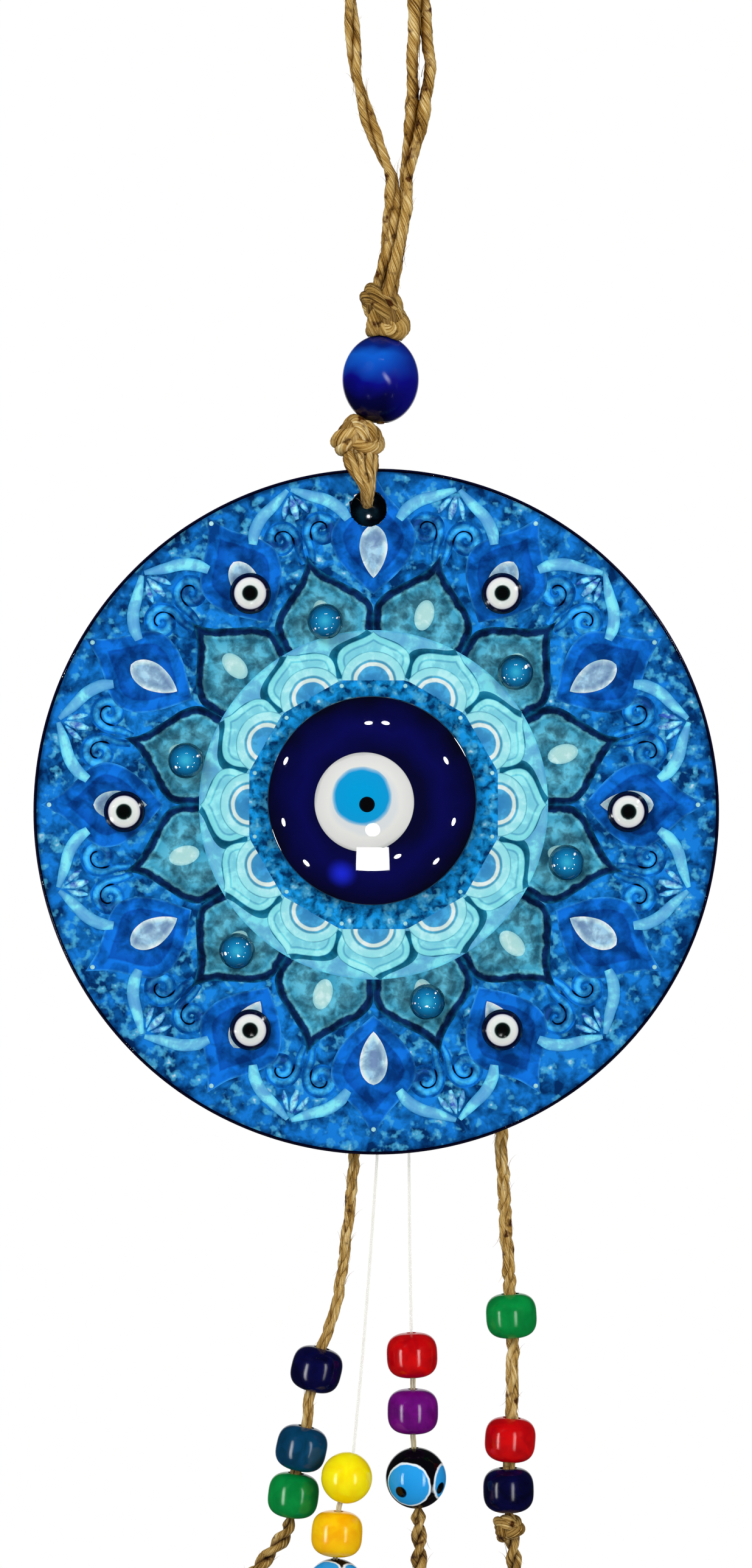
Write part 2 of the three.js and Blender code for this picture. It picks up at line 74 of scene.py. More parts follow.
def metres(points):
    """From millimetres off the disc's middle to metres off the nail."""
    return (np.asarray(points, float) - NAIL) * MM


def unit(vectors):
    """Each vector over its own length."""
    return vectors / np.maximum(np.linalg.norm(vectors, axis=-1, keepdims=True), 1e-12)


# Colour and nodes.
def srgb(code):
    """A hex colour in sRGB as linear red, green, blue and alpha."""
    parts = np.array([int(code[i : i + 2], 16) for i in (0, 2, 4)]) / 255
    linear = np.where(parts > 0.04045, ((parts + 0.055) / 1.055) ** 2.4, parts / 12.92)
    return (*linear, 1.0)


def add(tree, kind, *inputs, output=None, stops=(), **named):
    """Adds a node and gives its first output, or the one of that name. Inputs are values or
    outputs, first those in the node's own order, then those with a name, its spaces written _. The
    names in lower case are settings, and stops are a ramp's places and colours."""
    made = tree.nodes.new("ShaderNode" + kind)
    for key in [key for key in named if key.islower()]:
        setattr(made, key, named.pop(key))
    open_ones = [socket for socket in made.inputs if socket.enabled]
    by_name = {socket.name.replace(" ", "_"): socket for socket in open_ones}
    for socket, value in [*zip(open_ones, inputs), *((by_name[k], v) for k, v in named.items())]:
        if isinstance(value, bpy.types.NodeSocket):
            tree.links.new(value, socket)
        else:
            socket.default_value = value
    for number, (at, colour) in enumerate(stops):
        places = made.color_ramp.elements
        place = places[number] if number < len(places) else places.new(1.0)
        place.position, place.color = at, srgb(colour)
    given = (socket for socket in made.outputs if socket.enabled and output in (None, socket.name))
    return next(given, None)


def started(name):
    """A new material with an empty node tree."""
    material = bpy.data.materials.new(name)
    material.use_nodes = True
    material.node_tree.nodes.clear()
    return material, material.node_tree


def per_mm(size):
    """The scale at which a pattern on Object coordinates, in metres, has marks of this size."""
    return 1 / (size * MM)


def stacked(*parts):
    """The parts side by side on a last axis of their own, as the coordinates of points are."""
    return np.stack(np.broadcast_arrays(*parts), axis=-1)


# Meshes: a skin is its points in millimetres, its faces and its named marks.
def skin(points, faces, **marks):
    return {"points": np.asarray(points, float).reshape(-1, 3), "faces": faces, "marks": marks}


def together(*skins):
    """One skin from several, their faces counted on from each other."""
    starts = np.cumsum([0] + [len(part["points"]) for part in skins])
    faces = [f + start for start, part in zip(starts, skins) for f in part["faces"]]
    marks = {
        key: np.concatenate([part["marks"][key] for part in skins]) for key in skins[0]["marks"]
    }
    points = np.concatenate([part["points"] for part in skins])
    return {"points": points, "faces": faces, "marks": marks}


def grid_faces(rows, columns, round_rows=False, round_columns=True):
    """Four-cornered faces of a grid of points that may close on itself either way."""
    r = np.arange(rows if round_rows else rows - 1)[:, None]
    c = np.arange(columns if round_columns else columns - 1)[None]
    down, right = (r + 1) % rows, (c + 1) % columns
    corners = [r * columns + c, r * columns + right, down * columns + right, down * columns + c]
    return stacked(*corners).reshape(-1, 4)


def sheet(x, y, z, round_columns=True, **marks):
    """A skin over one grid of points. What is the same all along a row or column is given once."""
    points = stacked(x, y, z)
    rows, columns = points.shape[:2]
    faces = grid_faces(rows, columns, round_columns=round_columns)
    marks = {key: np.broadcast_to(mark, (rows, columns)).ravel() for key, mark in marks.items()}
    return skin(points, [faces], **marks)


def circle(count):
    """Angles in even steps once round, the other way where the count is below zero."""
    return np.linspace(0, math.copysign(2 * math.pi, count), abs(count), endpoint=False)


def around(middle, radii, columns):
    """The x and z of points on circles, one row for each radius, clockwise from the front."""
    a = circle(-columns)
    return middle[0] + radii * np.cos(a), middle[1] + radii * np.sin(a)


def capped(points, **marks):
    """A tube given as rows of points round it, closed at both ends by fans to their middles."""
    rows, columns = points.shape[:2]
    ring = np.arange(columns)
    onward = np.roll(ring, -1)
    foot = (rows - 1) * columns
    faces = [
        grid_faces(rows, columns), stacked(onward, ring, rows * columns),
        stacked(foot + ring, foot + onward, rows * columns + 1)
    ]

    def with_middles(values):
        flat = values.reshape(rows * columns, *values.shape[2:])
        return np.concatenate([flat, [values[0].mean(0), values[-1].mean(0)]])

    marks = {key: with_middles(values) for key, values in marks.items()}
    return skin(with_middles(points), faces, **marks)


def placed(name, data):
    """A new object in the scene, which shows a mesh or is a camera or a lamp."""
    made = bpy.data.objects.new(name, data)
    bpy.context.scene.collection.objects.link(made)
    return made


def piece(name, made, material, body=None, slot=None, replaces=(), smooth=True):
    """Puts a skin into a mesh, hangs it on its body, and hides the imported nodes it stands for."""
    mesh = bpy.data.meshes.new(name)
    points = metres(made["points"]).astype(np.float32)
    faces = made["faces"]
    sizes = np.concatenate([np.full(len(f), f.shape[1]) for f in faces])
    corners = np.concatenate([f.ravel() for f in faces]).astype(np.int32)
    mesh.vertices.add(len(points))
    mesh.vertices.foreach_set("co", points.ravel())
    mesh.loops.add(len(corners))
    mesh.loops.foreach_set("vertex_index", corners)
    mesh.polygons.add(len(sizes))
    mesh.polygons.foreach_set("loop_start", np.concatenate([[0], np.cumsum(sizes)[:-1]]))
    mesh.polygons.foreach_set("use_smooth", np.full(len(sizes), smooth))
    mesh.update(calc_edges=True)
    mesh.validate()
    for key, values in made["marks"].items():
        flat = values.ndim == 1
        mark = mesh.attributes.new(key, "FLOAT" if flat else "FLOAT_VECTOR", "POINT")
        mark.data.foreach_set("value" if flat else "vector", values.astype(np.float32).ravel())
    mesh.materials.append(material)
    shown = placed(name, mesh)
    if body:
        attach(shown, body)
    if replaces:
        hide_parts(*replaces)
    return shown


# Camera: a metre in front of the disc, level, with the photograph's frame round it.
VIEW_HEIGHT = 343.5
VIEW_DISTANCE = 1000.0
VIEW_MIDDLE = np.array([-0.05, 0.0, 6.04])
SENSOR = 36.0


def make_camera():
    """Looks along +Y. The lens that gives the frame its height at the disc is sensor x distance /
    height."""
    data = bpy.data.cameras.new("camera")
    data.sensor_fit = "VERTICAL"
    data.sensor_height = SENSOR
    data.lens = SENSOR * VIEW_DISTANCE / VIEW_HEIGHT
    data.clip_start, data.clip_end = 0.01, 20
    camera = placed("camera", data)
    camera.location = metres(VIEW_MIDDLE - [0, VIEW_DISTANCE, 0])
    camera.rotation_euler = (math.pi / 2, 0, 0)
    bpy.context.scene.camera = camera


make_camera()


# Paths.
def lengths(path):
    """How far along it each point of a path lies."""
    steps = np.linalg.norm(np.diff(path, axis=0), axis=1)
    return np.concatenate([[0], np.cumsum(steps)])


ROUTE_STEP = 0.4


def route(points, ease=4.0):
    """Straight runs through the points cut into equal steps, then each point is the weighted mean
    of those within half of ease on both sides, and the ends stay where they are."""
    points = np.asarray(points, float)
    s = lengths(points)
    at = np.linspace(0, s[-1], int(s[-1] / ROUTE_STEP) + 1)
    fine = stacked(*(np.interp(at, s, column) for column in points.T))
    reach = min(int(ease / ROUTE_STEP / 2), len(fine) - 2)
    before = 2 * fine[0] - fine[reach:0:-1]
    after = 2 * fine[-1] - fine[-2 : -reach - 2 : -1]
    padded = np.concatenate([before, fine, after])
    weights = np.hanning(2 * reach + 3)[1:-1]
    weights /= weights.sum()
    return stacked(*(np.convolve(column, weights, "valid") for column in padded.T))


def frames(path, lean):
    """The way at each point of a path and two directions square to it: side = lean x way, and
    up = way x side."""
    way = unit(np.gradient(path, axis=0))
    side = unit(np.cross(lean, way))
    return way, side, np.cross(way, side)


def carried(path):
    """As frames, with each side the last one less its part along the new way, for a path that
    turns every way."""
    way = unit(np.gradient(path, axis=0))
    side = np.empty_like(way)
    side[0] = unit(np.cross([0.3, 1.0, 0.2], way[0]))
    for i in range(1, len(path)):
        side[i] = unit(side[i - 1] - (side[i - 1] @ way[i]) * way[i])
    return way, side, np.cross(way, side)


# Jute: two or more plies laid round each other, each a bundle of fibres, with loose hairs.
FORWARD = np.array([0.0, 1.0, 0.0])
FIBRE_TURN = 0.55
FIBRE_STRETCH = 0.05
PLY_SIDES = 14


def ply(centre, radius, axes, seed, sides=PLY_SIDES, middle=None, reach=None):
    """One ply: centre + r (side cos a + up sin a), where r is the radius with ridges on it, sums
    of sines of a and of the way along that run round it as the fibres do. The mark out is how far
    each point is from the cord's middle line, as a share of the cord's radius; where plies lie
    side by side in a flat band, it is 1 - 0.7 sin^2 a. Where out is low, in the crevices between
    plies, the jute's colour takes painted shade."""
    rng = np.random.default_rng(seed)
    _, side, up = axes
    s = lengths(centre)[:, None]
    angle = circle(sides)[None]
    fibre = angle + FIBRE_TURN * s
    relief = np.zeros((len(centre), sides))
    for count, depth, drift in ((2, 0.05, 0.3), (3, 0.05, -0.5), (5, 0.035, 0.9)):
        relief += depth * np.sin(count * fibre + drift * s + rng.uniform(0, 7))
    relief += 0.05 * np.sin(s * rng.uniform(0.5, 0.9) + rng.uniform(0, 7))
    r = np.broadcast_to(np.asarray(radius, float), (len(centre),))[:, None] * (1 + relief)
    ring = np.cos(angle)[..., None] * side[:, None] + np.sin(angle)[..., None] * up[:, None]
    lay = stacked(np.cos(fibre), np.sin(fibre), FIBRE_STRETCH * s + 9.0 * seed)
    points = centre[:, None] + r[..., None] * ring
    if middle is None:
        return capped(points, lay=lay, out=1 - 0.7 * np.sin(angle) ** 2 + 0 * r)
    off = np.linalg.norm(points - middle[:, None], axis=-1)
    return capped(points, lay=lay, out=off / np.reshape(reach, (-1, 1)))


def rope(path, radius, spread, turns, axes, seed, plies=2, sides=PLY_SIDES):
    """Plies laid round a path: each centre is path + spread (side cos b + up sin b), where b is
    the turns, in radians, at each point of the path."""
    way, side, up = axes
    spread = np.broadcast_to(np.asarray(spread, float), (len(path),))[:, None]
    made = []
    for k in range(plies):
        turn = (turns + 2 * math.pi * k / plies)[:, None]
        centre = path + spread * (np.cos(turn) * side + np.sin(turn) * up)
        made.append(ply(centre, radius, axes, seed + k, sides, path, radius + spread[:, 0]))
    return together(*made)


HAIR_RADIUS = 0.075


def hairs(path, radius, axes, count, seed, lift=(0.3, 1.8), span=(2.5, 6.0)):
    """Loose fibres: each starts on the cord, runs along it and lifts off as the square of its
    length, a three-sided tube that thins towards its end."""
    rng = np.random.default_rng(seed)
    at = rng.integers(1, len(path) - 1, count)
    way, side, up = (part[at] for part in axes)
    angle = rng.uniform(0, 2 * math.pi, (count, 1))
    out = np.cos(angle) * side + np.sin(angle) * up
    onward = way * rng.choice([-1.0, 1.0], (count, 1))
    across = np.cross(out, onward)
    t = np.linspace(0, 1, 7)[None, :, None]
    height = radius * 0.85 + rng.uniform(*lift, (count, 1, 1)) * t**2
    sway = rng.uniform(-1.2, 1.2, (count, 1, 1)) * t**1.5
    run = rng.uniform(*span, (count, 1, 1)) * (t - 0.25 * t**2)
    middle = path[at][:, None] + out[:, None] * height + onward[:, None] * run
    middle = middle + across[:, None] * sway
    thick = HAIR_RADIUS * (1.15 - t)[..., None]
    spokes = np.radians([90, 210, 330])[None, None, :, None]
    ring = np.cos(spokes) * across[:, None, None] + np.sin(spokes) * out[:, None, None]
    points = middle[:, :, None] + thick * ring
    lay = np.zeros_like(points)
    lay[..., 2] = rng.uniform(0, 50, (count, 1, 1))
    out = np.ones(points.shape[:-1])
    return together(*(capped(points[i], lay=lay[i], out=out[i]) for i in range(count)))


def jute_yarn(name, tones, crevice_shade_tint):
    """Jute: a coarse, dry bast fibre, spun and laid by machine. It has no shine, long tan and
    straw streaks along each ply, plies that are paler or darker than the next, and brown bits of
    bark here and there. Where the mark out is low, between the plies and in the knots' cores, the
    colour is multiplied by a tint as painted shade."""
    material, tree = started(name)
    lay = add(tree, "Attribute", attribute_name="lay", output="Vector")
    place = add(tree, "TexCoord", output="Object")
    streaks = add(tree, "TexNoise", Vector=lay, Scale=4.2, Detail=5.0, Roughness=0.62)
    batch = add(tree, "TexNoise", Vector=lay, Scale=0.7, Detail=1.0)
    paler = add(tree, "MapRange", batch, 0.3, 0.7, -0.1, 0.1)
    shade = add(tree, "Math", streaks, paler, operation="ADD")
    fibre = add(tree, "ValToRGB", shade, stops=list(zip(JUTE_STREAKS, tones)))
    # Painted shade: where out is low, between the plies, the colour is multiplied by the crevice
    # tint.
    out = add(tree, "Attribute", attribute_name="out", output="Fac")
    painted_crevice_shade = add(tree, "MapRange", out, 0.72, 0.3)
    fibre = add(
        tree, "Mix", painted_crevice_shade, fibre, srgb(crevice_shade_tint), data_type="RGBA", blend_type="MULTIPLY"
    )
    bark = add(tree, "TexNoise", Vector=place, Scale=per_mm(3.2), Detail=3.0)
    bark_share = add(tree, "MapRange", bark, 0.57, 0.68)
    colour = add(
        tree, "Mix", bark_share, fibre, srgb("6d4a20"), data_type="RGBA", blend_type="MULTIPLY"
    )
    ridges = add(tree, "Bump", Height=streaks, Strength=0.7, Distance=0.25 * MM)
    shader = add(
        tree, "BsdfPrincipled", Base_Color=colour, Roughness=0.88, Normal=ridges,
        Specular_IOR_Level=0.25
    )
    add(tree, "OutputMaterial", Surface=shader)
    return material


JUTE_STREAKS = (0.32, 0.42, 0.52, 0.62, 0.74)
JUTE = jute_yarn("spun_jute", ("4e3212", "987030", "bb9652", "d8ba7c", "f2e0b0"), "a0844a")
# A darker copy of the same jute, for the upper knot, the tails and their end knots. The upper  knot
# is tied in the loop's own cord, so there its darker tone is painted shade.
DARKER_JUTE = jute_yarn(
    "hard_laid_jute", ("3c260a", "7c5a22", "a88444", "c8a764", "e6d09a"), "6c4a1a"
)


# The strands: where each leaves the rim, and the steps of its cord, each a length, a tilt in
# degrees that carries its lower end to the left, and the bead that it passes through.
BARREL, BALL, EYE_BEAD = 9.9, 11.2, 13.4
STRANDS = {
    "left": {
        "seed": 101, "rim_x": -4.8, "dab_x": -5.6, "radius": 1.3,
        "upper": [(10.9, 5.8), (12.4, 6.5), (9.4, 9), (9.3, 20), (BARREL, 14, "navy")],
        "lower": [(6.2, 6), (BARREL, 12.5, "teal"), (0.6, 10), (BARREL, 7, "green")],
        "tail": [(3, 12), (8, 40), (9, 40), (9, 30)]
    },
    "front": {
        "seed": 121, "rim_x": 0.2, "dab_x": 0.2, "dab_higher": 11.0, "forward": 4.9, "radius": 0.55,
        "fine": 0.28, "upper": [(22, 4), (22, 4.5), (20.5, 5.5), (BALL, 15, "yellow")],
        "lower": [(1, 8), (BARREL, 4, "orange"), (0.5, 0), (EYE_BEAD, 0, "eye")],
        "tail": [(5, -3), (6, -2), (4, 0)]
    },
    "middle": {
        "seed": 141, "rim_x": 7.2, "dab_x": 7.2, "radius": 0.55, "fine": 0.28,
        "upper": [(19.4, -0.5), (19.4, -1), (BARREL, -2, "red")],
        "lower": [(1.6, 1), (BARREL, 0, "purple"), (3, -4), (EYE_BEAD, -4, "eye")],
        "tail": [(6, -2), (8, 0), (8, 1), (4, 0)]
    },
    "right": {
        "seed": 161, "rim_x": 27.5, "dab_x": 27.0, "radius": 1.5,
        "upper": [(11, -3), (12, -3), (11.2, -4), (BARREL, -3, "green")],
        "lower": [(15.6, 1), (BARREL, 4, "red"), (1.2, 5), (BARREL, -1, "navy")],
        "tail": [(6, -6), (8, -6), (9, -4), (4, 0)], "knot_under_bead": True
    }
}
DAB_FROM_RIM = 13.0
FRAY_LENGTH = 5.0
END_KNOT_HALF = (3.6, 3.6, 3.2)
END_KNOT_CORD = 1.7
TAIL_RADIUS = 1.75
TAIL_IN_EYE_BEAD, TAIL_IN_BARREL = 9.0, 4.5
DAB_RADIUS = 4.2
DAB_COVER = 1.2
DOWN = np.array([0.0, 0.0, -1.0])


def walked(start, steps, forward=0.0):
    """Goes down the steps from a start: each way is (-sin tilt, -tan forward, -cos tilt), made one
    long. Gives the points and, for each bead, its name, its middle and its way down."""
    at = np.array(start, float)
    points, beads = [at.copy()], []
    for length, tilt, *bead in steps:
        turn = math.radians(tilt)
        down = unit(np.array([-math.sin(turn), -math.tan(math.radians(forward)), -math.cos(turn)]))
        if bead:
            beads.append((bead[0], at + down * length / 2, down))
            points.append(at + down * length / 2)
        at = at + down * length
        points.append(at.copy())
    return points, beads


def threaded(name):
    """The routes of a strand's three lengths of cord, its beads and the places where it bends."""
    strand = STRANDS[name]
    radius, forward = strand["radius"], strand.get("forward", 0.0)
    y = BACK_Y + CORD_GAP + radius
    rim_z = -math.sqrt(DISC_RADIUS**2 - strand["rim_x"] ** 2)
    pivot = np.array([strand["rim_x"], y, rim_z - 2 * CORD_GAP - radius])
    dab_z = rim_z + DAB_FROM_RIM + strand.get("dab_higher", 0.0)
    upper, upper_beads = walked(pivot, strand["upper"], forward)
    hang = upper_beads[-1][2]
    second = upper[-1] + hang * (CORD_GAP + radius)
    lower, lower_beads = walked(second, strand["lower"])
    tail, _ = walked(lower[-1] + lower_beads[-1][2] * CORD_GAP, strand["tail"])
    return {
        "glued": np.array([strand["dab_x"], y, dab_z]), "pivot": pivot, "upper": upper,
        "upper_beads": upper_beads, "second": second, "hang": hang, "lower": lower,
        "lower_beads": lower_beads, "tail": tail
    }


ROUTES = {name: threaded(name) for name in STRANDS}


def eased(value, low, high):
    """0 below low and 1 above high, with the curve 3 t^2 - 2 t^3 between them."""
    t = np.clip((value - low) / (high - low), 0, 1)
    return t * t * (3 - 2 * t)


# The hanging loop: the legs come up out of the knot side by side, and part above that.
JUTE_RADIUS = 1.4
LEG_APART = 1.5
LOOP_HALF_WIDTH = 7.55
# The heights over which the cord thins above the knot, and over which the right leg's plies spread
# and close, and where they part.
LOOP_THINS = (130, 146)
PLIES_SPREAD, PLIES_CLOSE = (138, 152), (190, 205)
PLIES_PART, PARTED_LENGTH = 163.5, 4.5
TWIST_MIDDLE = np.array(
    [(1.7, 0, 112.5), (2.9, 0, 119), (4.3, 0, 126.5), (5.2, 0, 133), (5.0, 0, 139)], float
)
LEFT_LEG = [(0.6, 0, 145.5), (-1.7, 0, 151.4), (-4.5, 0, 161.9), (-5.7, 0, 177.8)]
RIGHT_LEG = [(7.7, 0, 145), (8.9, 0, 151.4), (9.9, 0, 161.9), (9.4, 0, 177.8)]


def loop_route():
    """Up one leg, over the nail and down the other. Near the knot each leg is the middle line plus
    LEG_APART (cos a, sin a), where a makes an eighth of a turn; the arch is a half circle."""
    share = np.linspace(0, 1, 21)
    knots = np.linspace(0, 1, len(TWIST_MIDDLE))
    middle = stacked(*(np.interp(share, knots, column) for column in TWIST_MIDDLE.T))

    def leg(phase):
        a = phase + math.pi / 4 * (share - 1)
        return middle + LEG_APART * stacked(np.cos(a), np.sin(a), 0)

    a = np.radians(np.arange(180, -1, -15))
    arch_z = NAIL[2] + JUTE_RADIUS - LOOP_HALF_WIDTH
    arch = stacked(NAIL[0] + LOOP_HALF_WIDTH * np.cos(a), 0, arch_z + LOOP_HALF_WIDTH * np.sin(a))
    return np.concatenate([leg(math.pi), LEFT_LEG, arch, RIGHT_LEG[::-1], leg(0)[::-1]])


def make_loop():
    """The right leg's two plies lie side by side and part where the twist has opened."""
    path = route(loop_route())
    s = lengths(path)
    z = path[:, 2]
    right = s > s[-1] / 2
    wide = right * eased(z, *PLIES_SPREAD) * (1 - eased(z, *PLIES_CLOSE))
    parted = right * np.exp(-(((z - PLIES_PART) / PARTED_LENGTH) ** 2))
    radius = 0.92 + 0.5 * wide - 0.2 * parted + 0.26 * (1 - eased(z, *LOOP_THINS))
    spread = 0.78 + 0.62 * wide + 0.62 * parted
    turns = np.where(right, 0.045 * (s - s[-1] * 0.78), 0.16 * s)
    axes = frames(path, FORWARD)
    made = together(
        rope(path, radius, spread, turns, axes, seed=11, sides=16),
        hairs(path, JUTE_RADIUS, axes, 230, seed=12, lift=(0.3, 1.6), span=(3, 7))
    )
    loop = piece("hanging_loop_jute", made, JUTE, "root", "jute", ["hanging_loop"])


# Knots: a cord drawn tight in an overhand knot.
def overhand(centre, half, cord_radius, seed, tilt, lean=0.0):
    """The cord follows a trefoil, x = sin t + 2 sin 2t, z = cos t - 2 cos 2t, y = -sin 3t, tilted
    in the plane of the disc and stretched to the knot's half sizes, round a core."""
    t = np.linspace(0, 2 * math.pi, 150)
    shape = stacked(np.sin(t) + 2 * np.sin(2 * t), -np.sin(3 * t), np.cos(t) - 2 * np.cos(2 * t))
    a, b = math.radians(tilt), math.radians(lean)
    turn = np.array([[math.cos(a), 0, math.sin(a)], [0, 1, 0], [-math.sin(a), 0, math.cos(a)]])
    tip = np.array([[1, 0, 0], [0, math.cos(b), -math.sin(b)], [0, math.sin(b), math.cos(b)]])
    shape = (shape / [3, 1, 3]) @ turn.T @ tip.T
    low, high = shape.min(axis=0), shape.max(axis=0)
    room = np.asarray(half, float) - cord_radius
    path = centre + (2 * shape - low - high) / (high - low) * room
    axes = carried(path)
    s = lengths(path)
    strands = rope(path, 0.62 * cord_radius, 0.4 * cord_radius, 0.3 * s, axes, seed, 3, sides=18)
    return together(strands, lump(centre, np.asarray(half) * 0.78, seed + 5))


def lump(centre, half, seed):
    """A closed rounded core: half sizes times (sin a cos b, sin a sin b, cos a), ridged upright."""
    a = np.linspace(0.05, math.pi - 0.05, 22)[:, None]
    b = circle(36)[None]
    wide = np.sin(a) * (1 + 0.03 * np.sin(9 * b + 2 * np.cos(3 * a)))
    ball = stacked(wide * np.cos(b), wide * np.sin(b), -np.cos(a))
    lay = stacked(3 * np.cos(b), 3 * np.sin(b), 0.2 * a + 9.0 * seed)
    # An out of 0.5 gives the core part of the jute's painted crevice shade.
    return capped(centre + ball * half, lay=lay, out=np.full(ball.shape[:-1], 0.5))


def seated(made):
    """Presses a knot on to the blue bead: points inside the bead move out along its radius."""
    off = (made["points"] - BLUE_BEAD) / BLUE_BEAD_HALF
    far = np.linalg.norm(off, axis=1, keepdims=True)
    made["points"] = BLUE_BEAD + BLUE_BEAD_HALF * off * np.maximum(far, BEAD_SEAT) / far
    return made


# Each knot: its node, body and cord, its middle and half sizes, the cord's radius, the tilt and
# lean of its turns in degrees, and how far it slants to the left for each step up.
# The upper knot's darker jute is painted shade.
KNOTS = (
    (
        "upper_knot", "root", DARKER_JUTE, UPPER_KNOT - [0, 0, 0.9], (5.1, 4.9, 6.9), 2.9, 35,
        20, 0.22
    ),
    ("lower_knot", "lower_knot", JUTE, LOWER_KNOT + [0, 0, 0.5], (6.1, 4.4, 5.1), 2.4, -60, 10, 0)
)
TIE_OFFSET = 0.25
TIE_PLIES_ACROSS = (-1.2, -0.8, -0.4, 0.0, 0.4, 0.8, 1.2)
# The heights over which the tie's plies thicken, fan out and lean towards the knot, and how far.
TIE_THICKENS, TIE_FANS, TIE_LEANS = (68, 76), (66.5, 79), (69, 79)
TIE_LEAN = 1.65


def make_neck():
    """Upper and lower knot, neck cord and tie. The tie is seven plies side by side, fanned out
    above the hole."""
    for seed, (name, body, cord, middle, half, radius, *ways, slant) in enumerate(KNOTS, 31):
        made = overhand(middle, half, radius, seed, *ways)
        made["points"][:, 0] += slant * (middle[2] - made["points"][:, 2])
        piece(f"{name}_jute", seated(made), cord, body, "jute", [name])

    path = route([BLUE_BEAD + [0, 0, BLUE_BEAD_HALF[2]], BLUE_BEAD - [0, 0, BLUE_BEAD_HALF[2]]])
    made = rope(path, 0.78, 0.62, 0.4 * lengths(path), frames(path, FORWARD), seed=41)
    piece("neck_cord_jute", made, JUTE, "root", "jute", ["neck_cord"])

    a = np.linspace(0, 2 * math.pi, 120) + math.pi / 2
    made = []
    for k, across in enumerate(TIE_PLIES_ACROSS):
        grow = 0.22 * eased(TIE_Z + TIE_RING_RADIUS * np.sin(a), *TIE_THICKENS)
        ring_radius = TIE_RING_RADIUS + grow + (0.6 if k % 2 else -0.15)
        z = TIE_Z + ring_radius * np.sin(a)
        fan = across * (0.45 + 2.2 * eased(z, *TIE_FANS)) + 0.15 * np.sin(0.9 * z + 2.4 * k)
        x = HOLE[0] - TIE_OFFSET + fan - TIE_LEAN * eased(z, *TIE_LEANS)
        path = stacked(x, ring_radius * np.cos(a), z)
        axes = frames(path, np.array([1.0, 0, 0]))
        made.append(ply(path, 0.6 + grow, axes, 51 + k))
        made.append(hairs(path, 0.7, axes, 9, 61 + k, lift=(0.1, 0.8), span=(1.5, 3)))
    piece("tie_jute", together(*made), JUTE, "tie", "jute", ["tie_loop"])


make_loop()
make_neck()


def make_strand_cords(name):
    """Three lengths: from the glue on the back to the first bead, from there to the last bead, and
    the tail. The first two go on no body."""
    strand, at = STRANDS[name], ROUTES[name]
    radius = strand["radius"]
    rim = at["pivot"] + [0, 0, radius + CORD_GAP]
    last_bead = at["lower_beads"][-1]
    inside = TAIL_IN_EYE_BEAD if last_bead[0] == "eye" else TAIL_IN_BARREL
    end = at["tail"][-1] - [0, 0, FRAY_LENGTH + END_KNOT_HALF[2]]

    upper = [at["glued"], rim, *at["upper"][:-1]]
    lower = [at["upper_beads"][-1][1], at["upper"][-1], at["second"], *at["lower"][1:]]
    tail = [at["lower"][-1] - last_bead[2] * inside, *at["tail"], end]
    fine = strand.get("fine", radius)
    runs = (
        ("upper_cord", upper, ("disc", f"{name}_upper"), at["pivot"], DOWN, fine),
        ("lower_cord", lower, (f"{name}_upper", f"{name}_lower"), at["second"], at["hang"], radius),
        ("tail", tail, (f"{name}_lower",), None, None, TAIL_RADIUS)
    )
    for seed, (kind, points, bodies, bend, way, thick) in enumerate(runs, strand["seed"]):
        path = route(points, ease=2.0 if kind == "lower_cord" else 5.0)
        s = lengths(path)
        turns = 0.34 * s + 0.6 * np.sin(0.31 * s + seed) + 0.3 * np.sin(0.83 * s)
        axes = frames(path, FORWARD)
        held = []
        if kind == "tail":
            into = eased(s, inside - 0.5, inside + 2.5)
            fray = eased(s, s[-1] - FRAY_LENGTH, s[-1])
            ply_radius = 0.42 + 0.55 * into - 0.35 * fray
            spread = 0.3 + 0.52 * into + 1.0 * fray
            out = slice(int(len(path) * 0.3), None)
            brush = slice(-14, None)
            made = together(
                rope(path, ply_radius, spread, 0.62 * s, axes, seed, sides=16),
                hairs(path[out], TAIL_RADIUS, [part[out] for part in axes], 16, seed + 1),
                hairs(path[brush], 1.0, [part[brush] for part in axes], 16, seed + 2)
            )
            held = make_end_knots(name, seed)
        elif "fine" in strand:
            sides = (-0.55 * thick * axes[1], 0.55 * thick * axes[1])
            made = together(*(ply(path + off, 0.5 * thick, axes, seed, sides=10) for off in sides))
        else:
            made = together(
                rope(path, 0.52 * thick, 0.48 * thick, turns, axes, seed, plies=3),
                hairs(path, thick, axes, int(s[-1] / 1.6), seed + 1)
            )
        nylon = "fine" in strand and kind != "tail"
        yarn = DARKER_JUTE if kind == "tail" else JUTE
        line = DOUBLED_NYLON if kind == "lower_cord" else NYLON
        material, slot = (line, "nylon_thread") if nylon else (yarn, "jute")
        nodes = [f"{name}_{kind}"] + ([f"{name}_stub"] if kind == "upper_cord" else [])
        body = bodies[0] if bend is None else None
        cord = piece(f"{name}_{kind}_line", made, material, body, slot, nodes)
        if bend is not None:
            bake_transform(cord)


def make_end_knots(name, seed):
    """The knot at the tail's end, and the one right under the bead where there is one."""
    tail = ROUTES[name]["tail"]
    middles = [tail[-1]]
    if STRANDS[name].get("knot_under_bead"):
        middles.append(tail[0] - [0, 0, END_KNOT_HALF[2]])
    made = []
    for number, middle in enumerate(middles, 1):
        knot = overhand(middle, END_KNOT_HALF, END_KNOT_CORD, seed + 7 * number, tilt=20)
        rest = (DARKER_JUTE, f"{name}_lower", "jute", [f"{name}_tail"])
        made.append(piece(f"{name}_knot_{number}", knot, *rest))
    return made


